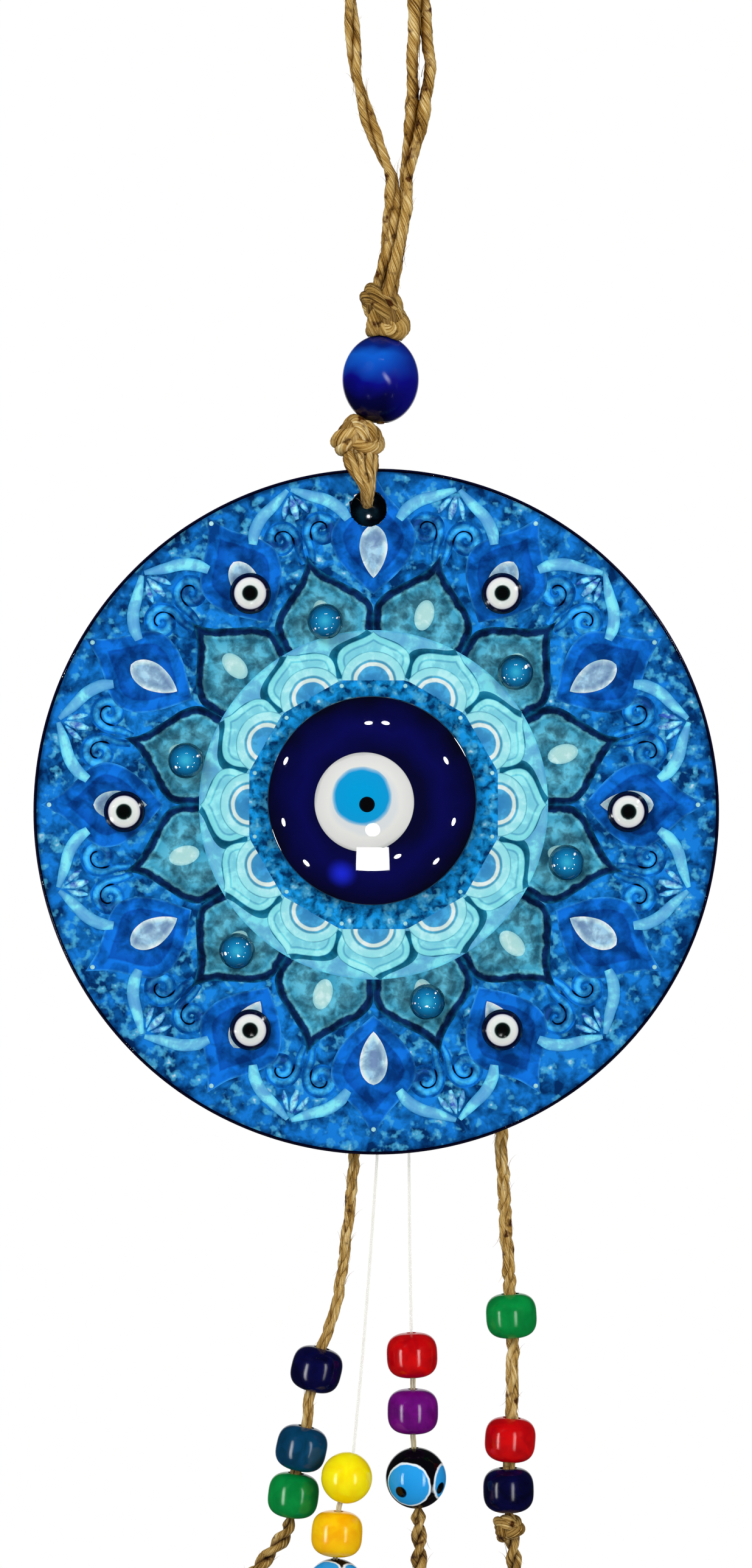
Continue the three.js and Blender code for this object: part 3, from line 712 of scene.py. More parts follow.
def nylon_line(name, tint, body):
    """Nylon line: drawn, clear and smooth, so it hardly shows against the wall. Its body is the
    share that the tint hides; two lines laid together hide more and look yellower."""
    material, tree = started(name)
    clear = add(tree, "BsdfTransparent")
    line = add(tree, "BsdfPrincipled", Base_Color=srgb(tint), Roughness=0.25, IOR=1.53)
    shown = add(tree, "MixShader", body, clear, line)
    add(tree, "OutputMaterial", Surface=shown)
    return material


NYLON = nylon_line("clear_nylon_line", "f4f2e2", 0.35)
DOUBLED_NYLON = nylon_line("doubled_nylon_line", "d0c08c", 0.8)


# Beads.
BORE_CLEARANCE = 0.45
BEAD_SIDES = 72


def bead(middle, up, half_width, half_height, power, bore, **marks):
    """A bored bead turned about up: |x / half width|^n + |z / half height|^n = 1, cut off where x
    is the bore's radius, and the bore back down. The marks are functions of the points."""
    t = np.linspace(-math.pi / 2, math.pi / 2, 161)
    x = half_width * np.abs(np.cos(t)) ** (2 / power)
    z = half_height * np.sign(np.sin(t)) * np.abs(np.sin(t)) ** (2 / power)
    kept = x > bore + 0.15
    x, z = x[kept], z[kept]
    lip = np.array([bore + 0.04, bore])
    drop = np.array([0.02, 0.12])
    x = np.concatenate([lip[::-1], x, lip])
    z = np.concatenate([z[0] + drop[::-1], z, z[-1] - drop])
    up = unit(np.asarray(up, float))
    side = unit(np.cross(FORWARD, up))
    across = np.cross(up, side)
    a = circle(BEAD_SIDES)
    ring = np.cos(a)[:, None] * side + np.sin(a)[:, None] * across
    points = middle + x[:, None, None] * ring + z[:, None, None] * up
    flat = points.reshape(-1, 3)
    faces = grid_faces(len(x), BEAD_SIDES, round_rows=True)
    return skin(flat, [faces], **{key: mark(flat) for key, mark in marks.items()})


def moulded_plastic(name, colour, shade):
    """Injection-moulded plastic with a hard gloss: its colour lies deep, with faint swirls of the
    mould's flow, and its skin has a slight orange peel."""
    material, tree = started(name)
    place = add(tree, "TexCoord", output="Object")
    flow = add(tree, "TexNoise", Vector=place, Scale=per_mm(5), Detail=3.0, Distortion=1.2)
    body = add(tree, "ValToRGB", flow, stops=((0.35, shade), (0.68, colour)))
    peel = add(tree, "TexNoise", Vector=place, Scale=per_mm(1.1), Detail=2.0)
    dimples = add(tree, "Bump", Height=peel, Strength=0.25, Distance=0.03 * MM)
    shader = add(
        tree, "BsdfPrincipled", Base_Color=body, Roughness=0.16, Normal=dimples,
        Specular_IOR_Level=0.3
    )
    add(tree, "OutputMaterial", Surface=shader)
    return material


# Each colour of plastic bead: its colour, its shade and its form as half width, half height, power.
BARREL_FORM = (5.6, 4.95, 2.9)
BALL_FORM = (5.6, 5.6, 2.0)
PLASTIC = {
    "navy": ("07073e", "030322", BARREL_FORM), "teal": ("06456e", "033450", BARREL_FORM),
    "green": ("04903f", "037a36", BARREL_FORM), "red": ("d20407", "ac0008", BARREL_FORM),
    "purple": ("780a82", "5c0668", BARREL_FORM), "yellow": ("fff008", "fbdc00", BALL_FORM),
    "orange": ("ffcb06", "f9ae00", BARREL_FORM)
}
EYE_BEAD_RADIUS = 6.7
EYE_BEAD_FORM = (EYE_BEAD_RADIUS, EYE_BEAD_RADIUS, 2.0)
EYE_SPOTS = 4
# How far round, in degrees, and how far up each eye bead's first spot faces.
EYE_BEAD_TURNS = {"front": (-35, 0.5), "middle": (-20, -0.14)}


def eye_spots(middle, up, first, lean):
    """The eye bead's marks, as functions of points: how far each point is from the nearest spot's
    middle, the first spot larger than the rest, and from the nearest pupil, low and to the left of
    its spot."""
    turns = np.radians(first + 360 / EYE_SPOTS * np.arange(EYE_SPOTS))[:, None]
    side = unit(np.cross(FORWARD, up))
    ways = unit(np.cos(turns) * np.cross(side, up) + np.sin(turns) * side + lean * up)
    pupils = unit(ways - 0.24 * unit(np.cross(up, ways)) - 0.2 * up)
    smaller = np.where(np.arange(EYE_SPOTS), 1.5, 0.0)

    def apart(points, goals):
        off = unit(points - middle)
        return EYE_BEAD_RADIUS * np.arccos(np.clip(off @ goals.T, -1, 1))

    return {
        "spot": lambda points: (apart(points, ways) + smaller).min(axis=1),
        "pupil": lambda points: apart(points, pupils).min(axis=1)
    }


def eye_bead_glaze():
    """Fired lampwork: black glass with sky blue spots ringed in white, each with a black pupil,
    all under one clear, wet gloss."""
    material, tree = started("lampwork_glass")
    spot = add(tree, "Attribute", attribute_name="spot", output="Fac")
    pupil = add(tree, "Attribute", attribute_name="pupil", output="Fac")
    place = add(tree, "TexCoord", output="Object")
    wander = add(tree, "TexNoise", Vector=place, Scale=per_mm(2.4), Detail=2.0)
    ragged = add(tree, "Math", wander, 0.9, spot, operation="MULTIPLY_ADD")
    share = add(tree, "MapRange", ragged, 0.0, 8.0)
    rings = add(
        tree, "ValToRGB", share,
        stops=(
            (0.0, "1e96e4"), (0.68, "2aa0ea"), (0.7, "d8f0ff"), (0.74, "f4fbff"), (0.77, "06060a")
        )
    )
    black = add(tree, "MapRange", pupil, 1.5, 1.25)
    colour = add(tree, "Mix", black, rings, srgb("050507"), data_type="RGBA")
    shader = add(tree, "BsdfPrincipled", Base_Color=colour, Roughness=0.08, Specular_IOR_Level=0.3)
    add(tree, "OutputMaterial", Surface=shader)
    return material


def make_beads():
    """Every bead on the strands. Gives, for each length of cord, the beads that hang on it."""
    plastics = {name: moulded_plastic(f"{name}_plastic", *PLASTIC[name][:2]) for name in PLASTIC}
    glaze = eye_bead_glaze()
    strung = {}
    for name, at in ROUTES.items():
        bore = STRANDS[name]["radius"] + BORE_CLEARANCE
        for kind in ("upper", "lower"):
            beads = strung[name, f"{kind}_cord"] = []
            for colour, middle, down in at[f"{kind}_beads"]:
                node = f"{name}_{colour}_bead"
                if colour == "eye":
                    spots = eye_spots(middle, -down, *EYE_BEAD_TURNS[name])
                    made = bead(middle, -down, *EYE_BEAD_FORM, bore, **spots)
                    material, slot = glaze, "bead_black"
                else:
                    made = bead(middle, -down, *PLASTIC[colour][2], bore)
                    material, slot = plastics[colour], f"bead_{colour}"
                beads.append(piece(f"{node}_turned", made, material, node, slot, [node]))
    return strung


STRUNG = make_beads()
for strand_name in STRANDS:
    make_strand_cords(strand_name)


def blue_bead_glass():
    """Deep blue pressed glass with painted light and shade: a painted bright band a little above
    its middle, painted shade round the holes at the top and bottom, and a darker violet painted
    in as shade towards the right.
    """
    material, tree = started("deep_blue_glass")
    height = add(tree, "Attribute", attribute_name="height", output="Fac")
    place = add(tree, "TexCoord", output="Object")
    cloud = add(tree, "TexNoise", Vector=place, Scale=per_mm(9), Detail=2.0)
    share = add(tree, "Math", cloud, 0.4, height, operation="MULTIPLY_ADD")
    # Painted light and shade by height: bright a little above the middle, dark at the top and
    # bottom.
    body = add(
        tree, "ValToRGB", share,
        stops=(
            (0.08, "02021e"), (0.28, "03033e"), (0.44, "08087e"), (0.6, "0a46b2"), (0.78, "0c5ac8"),
            (0.9, "06247c"), (1.0, "03043a")
        )
    )
    aside = add(tree, "Attribute", attribute_name="aside", output="Fac")
    # Painted shade: a darker violet towards the right side.
    painted_side_shade = add(tree, "MapRange", aside, 0.1, 0.8, To_Max=0.8)
    colour = add(tree, "Mix", painted_side_shade, body, srgb("0c0a82"), data_type="RGBA")
    shader = add(tree, "BsdfPrincipled", Base_Color=colour, Roughness=0.17, Specular_IOR_Level=0.2)
    add(tree, "OutputMaterial", Surface=shader)
    return material


def make_blue_bead():
    """The large bead between the two knots, marked with how high and how far right points are,
    for its painted light and shade.
    """
    width, _, length = BLUE_BEAD_HALF
    made = bead(
        BLUE_BEAD, [0, 0, 1], width, length, 2.0, JUTE_RADIUS + BORE_CLEARANCE,
        height=lambda points: (points[:, 2] - BLUE_BEAD[2]) / (2 * length) + 0.3,
        aside=lambda points: (points[:, 0] - BLUE_BEAD[0]) / width
    )
    piece("blue_bead_glass", made, blue_bead_glass(), "blue_bead", "bead_blue", ["blue_bead"])


make_blue_bead()


# The print: a traditional twelve-petalled mandala in blues. Each shape is a flat grid with a mark
# that says how far in from its outline each point lies, and each layer is a hair in front of the
# one before.
PRINT_MIDDLE = np.array([-0.59, 1.5])
LAYER_STEP = 0.018
EVERY_30 = range(0, 360, 30)
HALF_WAY_30 = range(15, 375, 30)


def through(knots, count):
    """A smooth line through knots: between two of them it is the cubic whose slopes there are half
    the step from the knot before to the knot after."""
    knots = np.asarray(knots, float)
    slopes = np.gradient(knots, axis=0)
    at = np.linspace(0, len(knots) - 1, count)
    i = np.minimum(at.astype(int), len(knots) - 2)
    t = (at - i)[:, None]
    return (
        (2 * t**3 - 3 * t**2 + 1) * knots[i]
        + (t**3 - 2 * t**2 + t) * slopes[i]
        + (3 * t**2 - 2 * t**3) * knots[i + 1]
        + (t**3 - t**2) * slopes[i + 1]
    )


def from_outline(points, outline):
    """The distance from each point to the nearest side of an outline, whose foot is open."""
    a, b = outline[:-1], outline[1:]
    along = b - a
    length = np.maximum((along**2).sum(axis=1), 1e-12)
    off = points[:, None] - a[None]
    t = np.clip((off * along).sum(axis=2) / length, 0, 1)
    return np.linalg.norm(off - t[..., None] * along, axis=2).min(axis=1)


def printed(across, outward, edge, layer, turns):
    """Copies of a flat grid, turned about the middle of the print. Its rows run outward and its
    columns to the right."""
    copies = []
    for turn in np.radians(np.asarray(turns, float)):
        x = PRINT_MIDDLE[0] + outward * math.cos(turn) + across * math.sin(turn)
        z = PRINT_MIDDLE[1] + outward * math.sin(turn) - across * math.cos(turn)
        y = SHEET_FRONT_Y - layer * LAYER_STEP
        copies.append(sheet(x, y, z, round_columns=False, edge=edge))
    return pierced(together(*copies))


def pierced(made):
    """Takes the hole for the tie out of a flat skin: faces whose middle is in the hole go, and
    points of the others that are in it move out to its edge."""
    points = made["points"].copy()
    middle = HOLE[[0, 2]]
    off = points[:, [0, 2]] - middle
    faces = np.concatenate(made["faces"])
    faces = faces[np.linalg.norm(off[faces].mean(axis=1), axis=1) > HOLE_RADIUS]
    inside = np.linalg.norm(off, axis=1) < HOLE_RADIUS
    points[np.ix_(inside, [0, 2])] = middle + unit(off[inside]) * HOLE_RADIUS
    used, counted = np.unique(faces, return_inverse=True)
    marks = {key: values[used] for key, values in made["marks"].items()}
    return skin(points[used], [counted.reshape(faces.shape)], **marks)


def petal(knots, layer, turns, rows=56, columns=29):
    """A shape with two like halves, given by its half width at each radius."""
    line = np.maximum(through(knots, rows), 0)
    across, outward = line[:, :1] * np.linspace(-1, 1, columns), line[:, 1:]
    outline = np.concatenate([line, line[::-1] * [-1, 1]])
    points = stacked(across, outward).reshape(-1, 2)
    edge = from_outline(points, outline).reshape(across.shape)
    return printed(across, outward, edge, layer, turns)


def stroke(points, widths, layer, turns, rows=30, columns=5):
    """A brush stroke along a line, as wide at each point as its widths say."""
    line = through(points, rows)
    wide = np.interp(np.linspace(0, 1, rows), np.linspace(0, 1, len(widths)), widths)[:, None]
    way = unit(np.gradient(line, axis=0))
    share = np.linspace(-0.5, 0.5, columns)
    across = line[:, :1] + wide * way[:, 1:] * share
    outward = line[:, 1:] - wide * way[:, :1] * share
    return printed(across, outward, wide * (0.5 - np.abs(share)), layer, turns)


def spot(radius_out, half_across, half_along, layer, turns):
    """An oval dot at a radius: across and outward are the half sizes times sin a and cos a."""
    a = np.linspace(0, math.pi, 13)[:, None]
    across = half_across * np.sin(a) * np.linspace(-1, 1, 9)[None]
    outward = radius_out - half_along * np.cos(a)
    inner = 1 - np.hypot(across / half_across, (outward - radius_out) / half_along)
    edge = np.maximum(min(half_across, half_along) * inner, 0)
    return printed(across, outward, edge, layer, turns)


def rainbow(half_width, height, foot, layer, turns):
    """A half oval standing on a radius, marked with how far in from its arch each point lies."""
    share = np.linspace(0.02, 1, 40)[:, None]
    a = np.linspace(math.pi, 0, 41)[None]
    across = share * half_width * np.cos(a)
    outward = foot + share * height * np.sin(a)
    return printed(across, outward, height * (1 - share), layer, turns)


def banded(tree, place, bands, reach, size, wander):
    """Bands of colour by how far in from its edge each starts, up to a reach. The lines between
    them wander as cloudy marks of a size do."""
    edge = add(tree, "Attribute", attribute_name="edge", output="Fac")
    shake = add(tree, "TexNoise", Vector=place, Scale=per_mm(size), Detail=2.0)
    drift = add(tree, "Math", shake, wander, edge, operation="MULTIPLY_ADD")
    share = add(tree, "MapRange", drift, wander / 2, wander / 2 + reach)
    stops = [(at / reach, tint) for at, tint in bands]
    return add(tree, "ValToRGB", share, stops=stops)


def ink(name, bands, dark, light, size, wander, amount, painted_glints=0.0):
    """Ink on a foiled sheet: bands of colour run in from each outline, sponged over with a darker
    and a lighter tint, with painted glints here and there: pale specks that stand in for light
    caught by the foil."""
    material, tree = started(name)
    place = add(tree, "TexCoord", output="Object")
    colour = banded(tree, place, bands, bands[-1][0], 2.2, wander)
    sponge = add(
        tree, "TexNoise", Vector=place, Scale=per_mm(size * 2), Detail=3.0, Roughness=0.55,
        Distortion=0.3
    )
    dabs = add(tree, "ValToRGB", sponge, stops=((0.36, dark), (0.5, "bcbcbc"), (0.62, light)))
    colour = add(tree, "Mix", amount, colour, dabs, data_type="RGBA", blend_type="OVERLAY")
    if painted_glints:
        painted_glint_noise = add(tree, "TexNoise", Vector=place, Scale=per_mm(2.2), Detail=2.5)
        for tint, low, high in (("4cb0dc", 0.54, 0.66), ("d4f0fa", 0.72 - painted_glints, 0.82 - painted_glints)):
            painted_glint_share = add(tree, "MapRange", painted_glint_noise, low, high, To_Max=0.8)
            colour = add(tree, "Mix", painted_glint_share, colour, srgb(tint), data_type="RGBA")
    shader = add(tree, "BsdfPrincipled", Base_Color=colour, Roughness=0.5, Specular_IOR_Level=0.0)
    add(tree, "OutputMaterial", Surface=shader)
    return material


def band(centre, inner, outer, layer, rows, columns=240, from_outer=False):
    """A flat ring of the print, marked with how far each point is from its nearer edge."""
    r = np.linspace(inner, outer, rows)[:, None]
    x, z = around(centre, r, columns)
    edge = outer - r if from_outer else np.minimum(r - inner, outer - r)
    return pierced(sheet(x, SHEET_FRONT_Y - layer * LAYER_STEP, z, edge=edge))


OUTER_PETAL = [
    (0, 46), (5.3, 50.7), (8.3, 54.7), (9.3, 58.7), (8, 62), (5.1, 65.3), (2.7, 68), (1.1, 70.7),
    (0, 72.8)
]
LOTUS_PETAL = [
    (9, 34), (10.3, 38.5), (11, 41.5), (10.6, 43.6), (9, 46), (7, 47.8), (4.6, 50), (2.7, 51.8),
    (1.3, 53.6), (0.5, 55.2), (0, 56.5)
]
SCALLOP = [
    (6.6, 27.5), (7.6, 29.7), (8, 31.6), (7.6, 33.3), (6.2, 34.7), (4, 35.8), (1.8, 36.7),
    (0.5, 37.5), (0, 38)
]
TEARDROP = [
    (0, 49.6), (0.9, 50.6), (2.1, 52.6), (2.9, 55), (3.05, 57), (2.5, 59.2), (1.3, 60.7), (0, 61.3)
]
ARCH_FOOT = [(0.4, 71.3), (4.1, 68.9), (7.3, 67), (9.6, 64.5), (10.8, 61.8)]
CURL_TURNS = 1.5
CURL_MIDDLE = (4.5, 61.0)
CURL_RADII = (0.7, 3.3)


def curl():
    """A spiral whose radius grows evenly with its turns, and the stem that it grows from."""
    a = 2 * math.pi * CURL_TURNS * np.linspace(0, 1, 11)
    r = np.linspace(*CURL_RADII, 11)
    spiral = stacked(CURL_MIDDLE[0] + r * np.cos(a), CURL_MIDDLE[1] + r * np.sin(a))
    return np.concatenate([spiral, [(1.3, 57.6), (0.9, 54.8)]])


def both_sides(line, widths, layer, turns, rows=30, columns=5):
    """A brush stroke and its mirror image."""
    line = np.asarray(line, float)
    return together(
        *(stroke(line * [side, 1], widths, layer, turns, rows, columns) for side in (-1, 1))
    )


def make_print():
    """The printed sheet, from its ground up: name, shape, bands of colour by how far in they
    start, dark and light sponging, and the sponge's marks."""
    shade = [(half * 1.07, radius * 1.012) for half, radius in SCALLOP]
    dots = together(
        spot(71.0, 0.5, 0.5, 7, EVERY_30), spot(26.9, 0.45, 0.45, 7, HALF_WAY_30),
        spot(42.9, 2.1, 3.4, 7, HALF_WAY_30)
    )
    # A sixth sponging number, on the ground and the inner ring, sets painted glints.
    layers = (
        (
            "ground", band((0.0, 0.0), 0.5, DISC_RADIUS - 0.5, 0, 150, 360, from_outer=True),
            [(0, "0a4a88"), (1, "0e5ca4"), (20, "1064ac")],
            ("34405c", "ffffff", 1.7, 0.9, 0.85, 0.03)
        ),
        (
            "rim", band((0.0, 0.0), DISC_RADIUS - 0.65, DISC_RADIUS - 0.05, 1, 3, 360),
            [(0, "02021c"), (1, "03042a")], ("bcbcbc", "bcbcbc", 2.0, 0.1, 0.1)
        ),
        (
            "curl_shades", both_sides(curl(), [1.4, 2.4, 2.8, 2.6, 1.4], 1, HALF_WAY_30, 56, 5),
            [(0, "0a5cac"), (0.5, "0854a2"), (1.0, "085098")], ("505070", "ffffff", 1.6, 0.8, 0.7)
        ),
        (
            "curls", both_sides(curl(), [0.8, 1.4, 1.7, 1.5, 0.8], 2, HALF_WAY_30, 56, 5),
            [(0, "0f66b0"), (0.35, "2480bc"), (0.7, "3590c8")], ("505070", "ffffff", 1.6, 0.6, 0.9)
        ),
        (
            "outer_petals", petal(OUTER_PETAL, 3, EVERY_30, columns=41),
            [
                (0, "2478bc"), (0.5, "0a58b0"), (2.4, "0c60b8"), (2.8, "084496"), (3.3, "08489a"),
                (5.5, "0a54a8"), (8, "0a50a4")
            ],
            ("40405c", "ffffff", 1.9, 0.6, 0.62)
        ),
        (
            "lotus_petals", petal(LOTUS_PETAL, 4, HALF_WAY_30, columns=45),
            [
                (0, "0a4c70"), (0.4, "06284c"), (0.8, "051a44"), (1.5, "0a2850"), (1.9, "509cb0"),
                (2.6, "307c98"), (5.5, "4e98ae"), (9, "307c98")
            ],
            ("606068", "ffffff", 1.2, 1.3, 0.72)
        ),
        (
            "ring", band(PRINT_MIDDLE, 27.3, 38.2, 5, 24),
            [(0, "54b3d8"), (0.6, "6dbedc"), (5.5, "66bbda")], ("909098", "ffffff", 1.6, 0.3, 0.5)
        ),
        (
            "inner_ring", band(PRINT_MIDDLE, 20.0, 28.0, 6, 16, from_outer=True),
            [(0, "0a66a5"), (1.5, "1178b3"), (8, "0a66a5")],
            ("3c3c5c", "ffffff", 1.0, 0.6, 0.9, 0.04)
        ),
        (
            "scallop_shades", petal(shade, 6, [turn + 2.2 for turn in EVERY_30], columns=21),
            [(0, "1c6d8b"), (1, "0a5775")], ("606070", "ffffff", 1.6, 0.4, 0.5)
        ),
        (
            "scallops", petal(SCALLOP, 7, EVERY_30, columns=45),
            [
                (0, "2780a5"), (0.25, "83dce3"), (1.1, "8be0e7"), (1.5, "54acc9"), (1.8, "83d4e1"),
                (4, "75cde0")
            ],
            ("a0a0a8", "ffffff", 1.6, 0.3, 0.5)
        ),
        (
            "rainbows", rainbow(7.0, 6.4, 27.2, 8, EVERY_30),
            [
                (0, "4196b3"), (0.3, "96e0e7"), (1.7, "a1e3ea"), (2.0, "4196b7"), (2.3, "4c9dbe"),
                (2.5, "d8e7e0"), (3.1, "d1e5e0"), (3.3, "4196c6"), (6.4, "3283be")
            ],
            ("a0a0a8", "ffffff", 1.4, 0.25, 0.4)
        ),
        (
            "arches", both_sides(ARCH_FOOT, [1.0, 2.2, 2.6, 2.7, 2.6, 1.8], 7, HALF_WAY_30),
            [(0, "3a96d1"), (0.35, "5bb0dc"), (0.9, "6dbee3"), (1.4, "6abbe0")],
            ("9898a0", "ffffff", 1.6, 0.25, 0.6)
        ),
        (
            "flourishes",
            together(
                stroke(
                    [(0, 70), (0, 67.5), (0, 64.6)], [0.4, 1.5, 1.8, 0.8], 7, HALF_WAY_30, 16, 4
                ),
                both_sides(
                    [(0.7, 69.6), (1.9, 67.6), (2.8, 65.4)], [0.3, 1.1, 1.3, 0.4], 7, HALF_WAY_30,
                    16, 4
                )
            ),
            [(0, "2783c6"), (0.3, "62acd8"), (0.8, "96c9e3")], ("505068", "ffffff", 0.9, 0.5, 0.9)
        ),
        (
            "teardrops", petal(TEARDROP, 7, EVERY_30, rows=24, columns=15),
            [(0, "c6dce1"), (0.5, "acc9d8"), (1.3, "80a5c2"), (3, "8fb0cd")],
            ("808090", "ffffff", 1.4, 0.4, 0.6)
        ),
        (
            "dots", dots, [(0, "8bc9d1"), (0.5, "acdada"), (1, "b0dcda")],
            ("a8a8b0", "ffffff", 1.2, 0.3, 0.4)
        )
    )
    for name, made, bands, sponging in layers:
        finish = ink(f"{name}_ink", bands, *sponging)
        piece(f"print_{name}", made, finish, "disc", "print", ["printed_sheet"])


make_print()


DISC_SIDES = 256
COAT_BEVEL = 0.8
TIE_SLOT_HALF_WIDTH = 1.1
TIE_SLOT_FOOT_Z = 67.7
POOL_MIDDLE_Y, POOL_HOLLOW = -0.1, 1.7


def turned_disc(profile):
    """A round body about the line through the disc's middle, from rows of radius and y, front to
    back."""
    profile = np.asarray(profile, float)
    x, z = around((0.0, 0.0), profile[:, :1], DISC_SIDES)
    return sheet(x, profile[:, 1:], z)


def flat_face(y, radius, front=True):
    """A round flat face with the hole in it."""
    x, z = around((0.0, 0.0), np.linspace(0.5, radius, 150)[:, None], DISC_SIDES)
    made = sheet(x, y, z)
    if not front:
        made["faces"] = [made["faces"][0][:, ::-1]]
    return pierced(made)


def hole_wall(front, back):
    """The wall of the hole, facing its middle."""
    x, z = around(HOLE[[0, 2]], HOLE_RADIUS, 64)
    return sheet(x, [[back], [front]], z)


def fibre_board():
    """Medium density fibreboard: pressed brown fibre, with its cut edge painted near black."""
    material, tree = started("fibre_board")
    place = add(tree, "TexCoord", output="Object")
    depth = add(tree, "SeparateXYZ", place, output="Y")
    fibre = add(tree, "TexNoise", Vector=place, Scale=per_mm(1.6), Detail=6.0, Roughness=0.7)
    bare = add(tree, "ValToRGB", fibre, stops=((0.3, "7d5c3c"), (0.5, "a2805a"), (0.72, "c2a27c")))
    back = add(tree, "MapRange", depth, (BACK_Y - 0.12) * MM, (BACK_Y - 0.05) * MM)
    colour = add(tree, "Mix", back, srgb("05052a"), bare, data_type="RGBA")
    rough = add(tree, "Bump", Height=fibre, Strength=0.5, Distance=0.12 * MM)
    shader = add(
        tree, "BsdfPrincipled", Base_Color=colour, Roughness=0.6, Specular_IOR_Level=0.15,
        Normal=rough
    )
    add(tree, "OutputMaterial", Surface=shader)
    return material


def poured_resin():
    """Poured epoxy: a thick clear coat with a wet gloss, faintly wavy where it settled."""
    material, tree = started("poured_resin")
    place = add(tree, "TexCoord", output="Object")
    waves = add(tree, "TexNoise", Vector=place, Scale=per_mm(22), Detail=1.0)
    level = add(tree, "Bump", Height=waves, Strength=0.2, Distance=0.3 * MM)
    clear = add(tree, "BsdfTransparent")
    gloss = add(tree, "BsdfGlossy", Roughness=0.05, Normal=level)
    facing = add(tree, "LayerWeight", Blend=0.5, Normal=level, output="Facing")
    steep = add(tree, "Math", facing, 5.0, operation="POWER")
    share = add(tree, "Math", steep, 0.35, 0.035, operation="MULTIPLY_ADD")
    mixed = add(tree, "MixShader", share, clear, gloss)
    add(tree, "OutputMaterial", Surface=mixed)
    return material


def pooled_resin():
    """Resin pooled in the hole over the dark edge of the board, wet and glossy; its deep
    teal-black is painted shade of the hole's inside.
    """
    material, tree = started("pooled_resin")
    place = add(tree, "TexCoord", output="Object")
    cloud = add(tree, "TexNoise", Vector=place, Scale=per_mm(3), Detail=3.0)
    colour = add(tree, "ValToRGB", cloud, stops=((0.35, "04080f"), (0.7, "0c2c3a")))
    shader = add(tree, "BsdfPrincipled", Base_Color=colour, Roughness=0.14)
    add(tree, "OutputMaterial", Surface=shader)
    return material


def make_disc():
    """Board and coat round the print, and a pool of resin in the hole whose near-black colour is
    painted shade, with a slot for the tie. The paint on the board's cut edge runs over the side of
    the coat too."""
    r, bevel = DISC_RADIUS, COAT_BEVEL
    board = together(
        flat_face(BOARD_FRONT_Y, r - 0.2),
        turned_disc([(r - 0.4, FRONT_Y + 0.13), (r - 0.1, FRONT_Y + 0.4), (r, FRONT_Y + bevel),
                     (r, BACK_Y - 0.3), (r - 0.3, BACK_Y)]),
        flat_face(BACK_Y, r - 0.3, front=False),
        hole_wall(BOARD_FRONT_Y, BACK_Y),
    )
    piece("board_disc", board, fibre_board(), "disc", "board_wood", ["board"])

    bend = np.radians(np.linspace(0, 32, 7))
    x, y = r - bevel + bevel * np.sin(bend), FRONT_Y + bevel - bevel * np.cos(bend)
    coat = together(
        flat_face(FRONT_Y, r - bevel), turned_disc(stacked(x, y)), hole_wall(FRONT_Y, BOARD_FRONT_Y)
    )
    piece("resin_pour", coat, poured_resin(), "disc", "clear_resin", ["resin_coat"])

    share = np.linspace(0, 1, 18)[:, None]
    x, z = around(HOLE[[0, 2]], share * (HOLE_RADIUS - 0.02), 64)
    pool = sheet(x, POOL_MIDDLE_Y + POOL_HOLLOW * share**2, z)
    middle = pool["points"][pool["faces"][0]].mean(axis=1)
    beside = np.abs(middle[:, 0] - HOLE[0] + TIE_OFFSET)
    slot = (beside < TIE_SLOT_HALF_WIDTH) & (middle[:, 2] > TIE_SLOT_FOOT_Z + 0.6 * beside)
    pool["faces"] = [pool["faces"][0][~slot]]
    piece("hole_pool", pool, pooled_resin(), "disc", "clear_resin")


make_disc()


# Glass.
EYE_RADIUS = 22.85
EYE_HEIGHT = 8.0
EYE_EDGE_HEIGHT = 1.4
EYE_FOOT_INSET = 0.6
EYE_MIDDLE = np.array([-0.9, 2.4])
WHITE_MIDDLE = EYE_MIDDLE + [-1.7, -0.3]
SKY_MIDDLE = WHITE_MIDDLE + [-0.5, 1.2]
PUPIL_MIDDLE = SKY_MIDDLE + [1.1, -1.7]
WHITE_RADIUS, SKY_RADIUS, PUPIL_RADIUS = 10.8, 6.55, 1.7
LENS_SIDES = 160


def sphere_radius(radius, rise):
    """The radius of the sphere of which a dome is the cap: (r^2 + h^2) / 2h."""
    return (radius**2 + rise**2) / (2 * rise)


def crown(x, z, middle, radius, height, edge_height):
    """The y of a dome's face: the y of its crown + R - sqrt(R^2 - distance from the middle^2),
    where R is its sphere's radius."""
    sphere = sphere_radius(radius, height - edge_height)
    far = (x - middle[0]) ** 2 + (z - middle[1]) ** 2
    return FRONT_Y - height + sphere - np.sqrt(np.maximum(sphere**2 - far, 0))


def footed(x, y, z, middle, share):
    """A dome's grid with one more row, its foot on the coat, drawn in to a share of its radius."""
    x = np.concatenate([x, middle[0] + (x[-1:] - middle[0]) * share])
    z = np.concatenate([z, middle[1] + (z[-1:] - middle[1]) * share])
    return x, np.concatenate([y, np.full_like(y[-1:], FRONT_Y)]), z


def lens(inner, outer, rows, proud=0.0):
    """A face on the centre dome between two circles, each a middle and a radius, with a mark for
    how far it is from the outer one. The outermost one goes on to the dome's foot."""
    share = np.linspace(0, 1, rows)[:, None]
    (x_in, z_in), (x_out, z_out) = around(*inner, LENS_SIDES), around(*outer, LENS_SIDES)
    x, z = (1 - share) * x_in + share * x_out, (1 - share) * z_in + share * z_out
    middle, radius = outer
    y = crown(x, z, EYE_MIDDLE, EYE_RADIUS, EYE_HEIGHT, EYE_EDGE_HEIGHT) - proud
    edge = radius - np.hypot(x - middle[0], z - middle[1])
    if radius == EYE_RADIUS:
        x, y, z = footed(x, y, z, middle, (radius - EYE_FOOT_INSET) / radius)
        edge = np.concatenate([edge, 0 * edge[-1:]])
    return sheet(x, y, z, edge=edge)


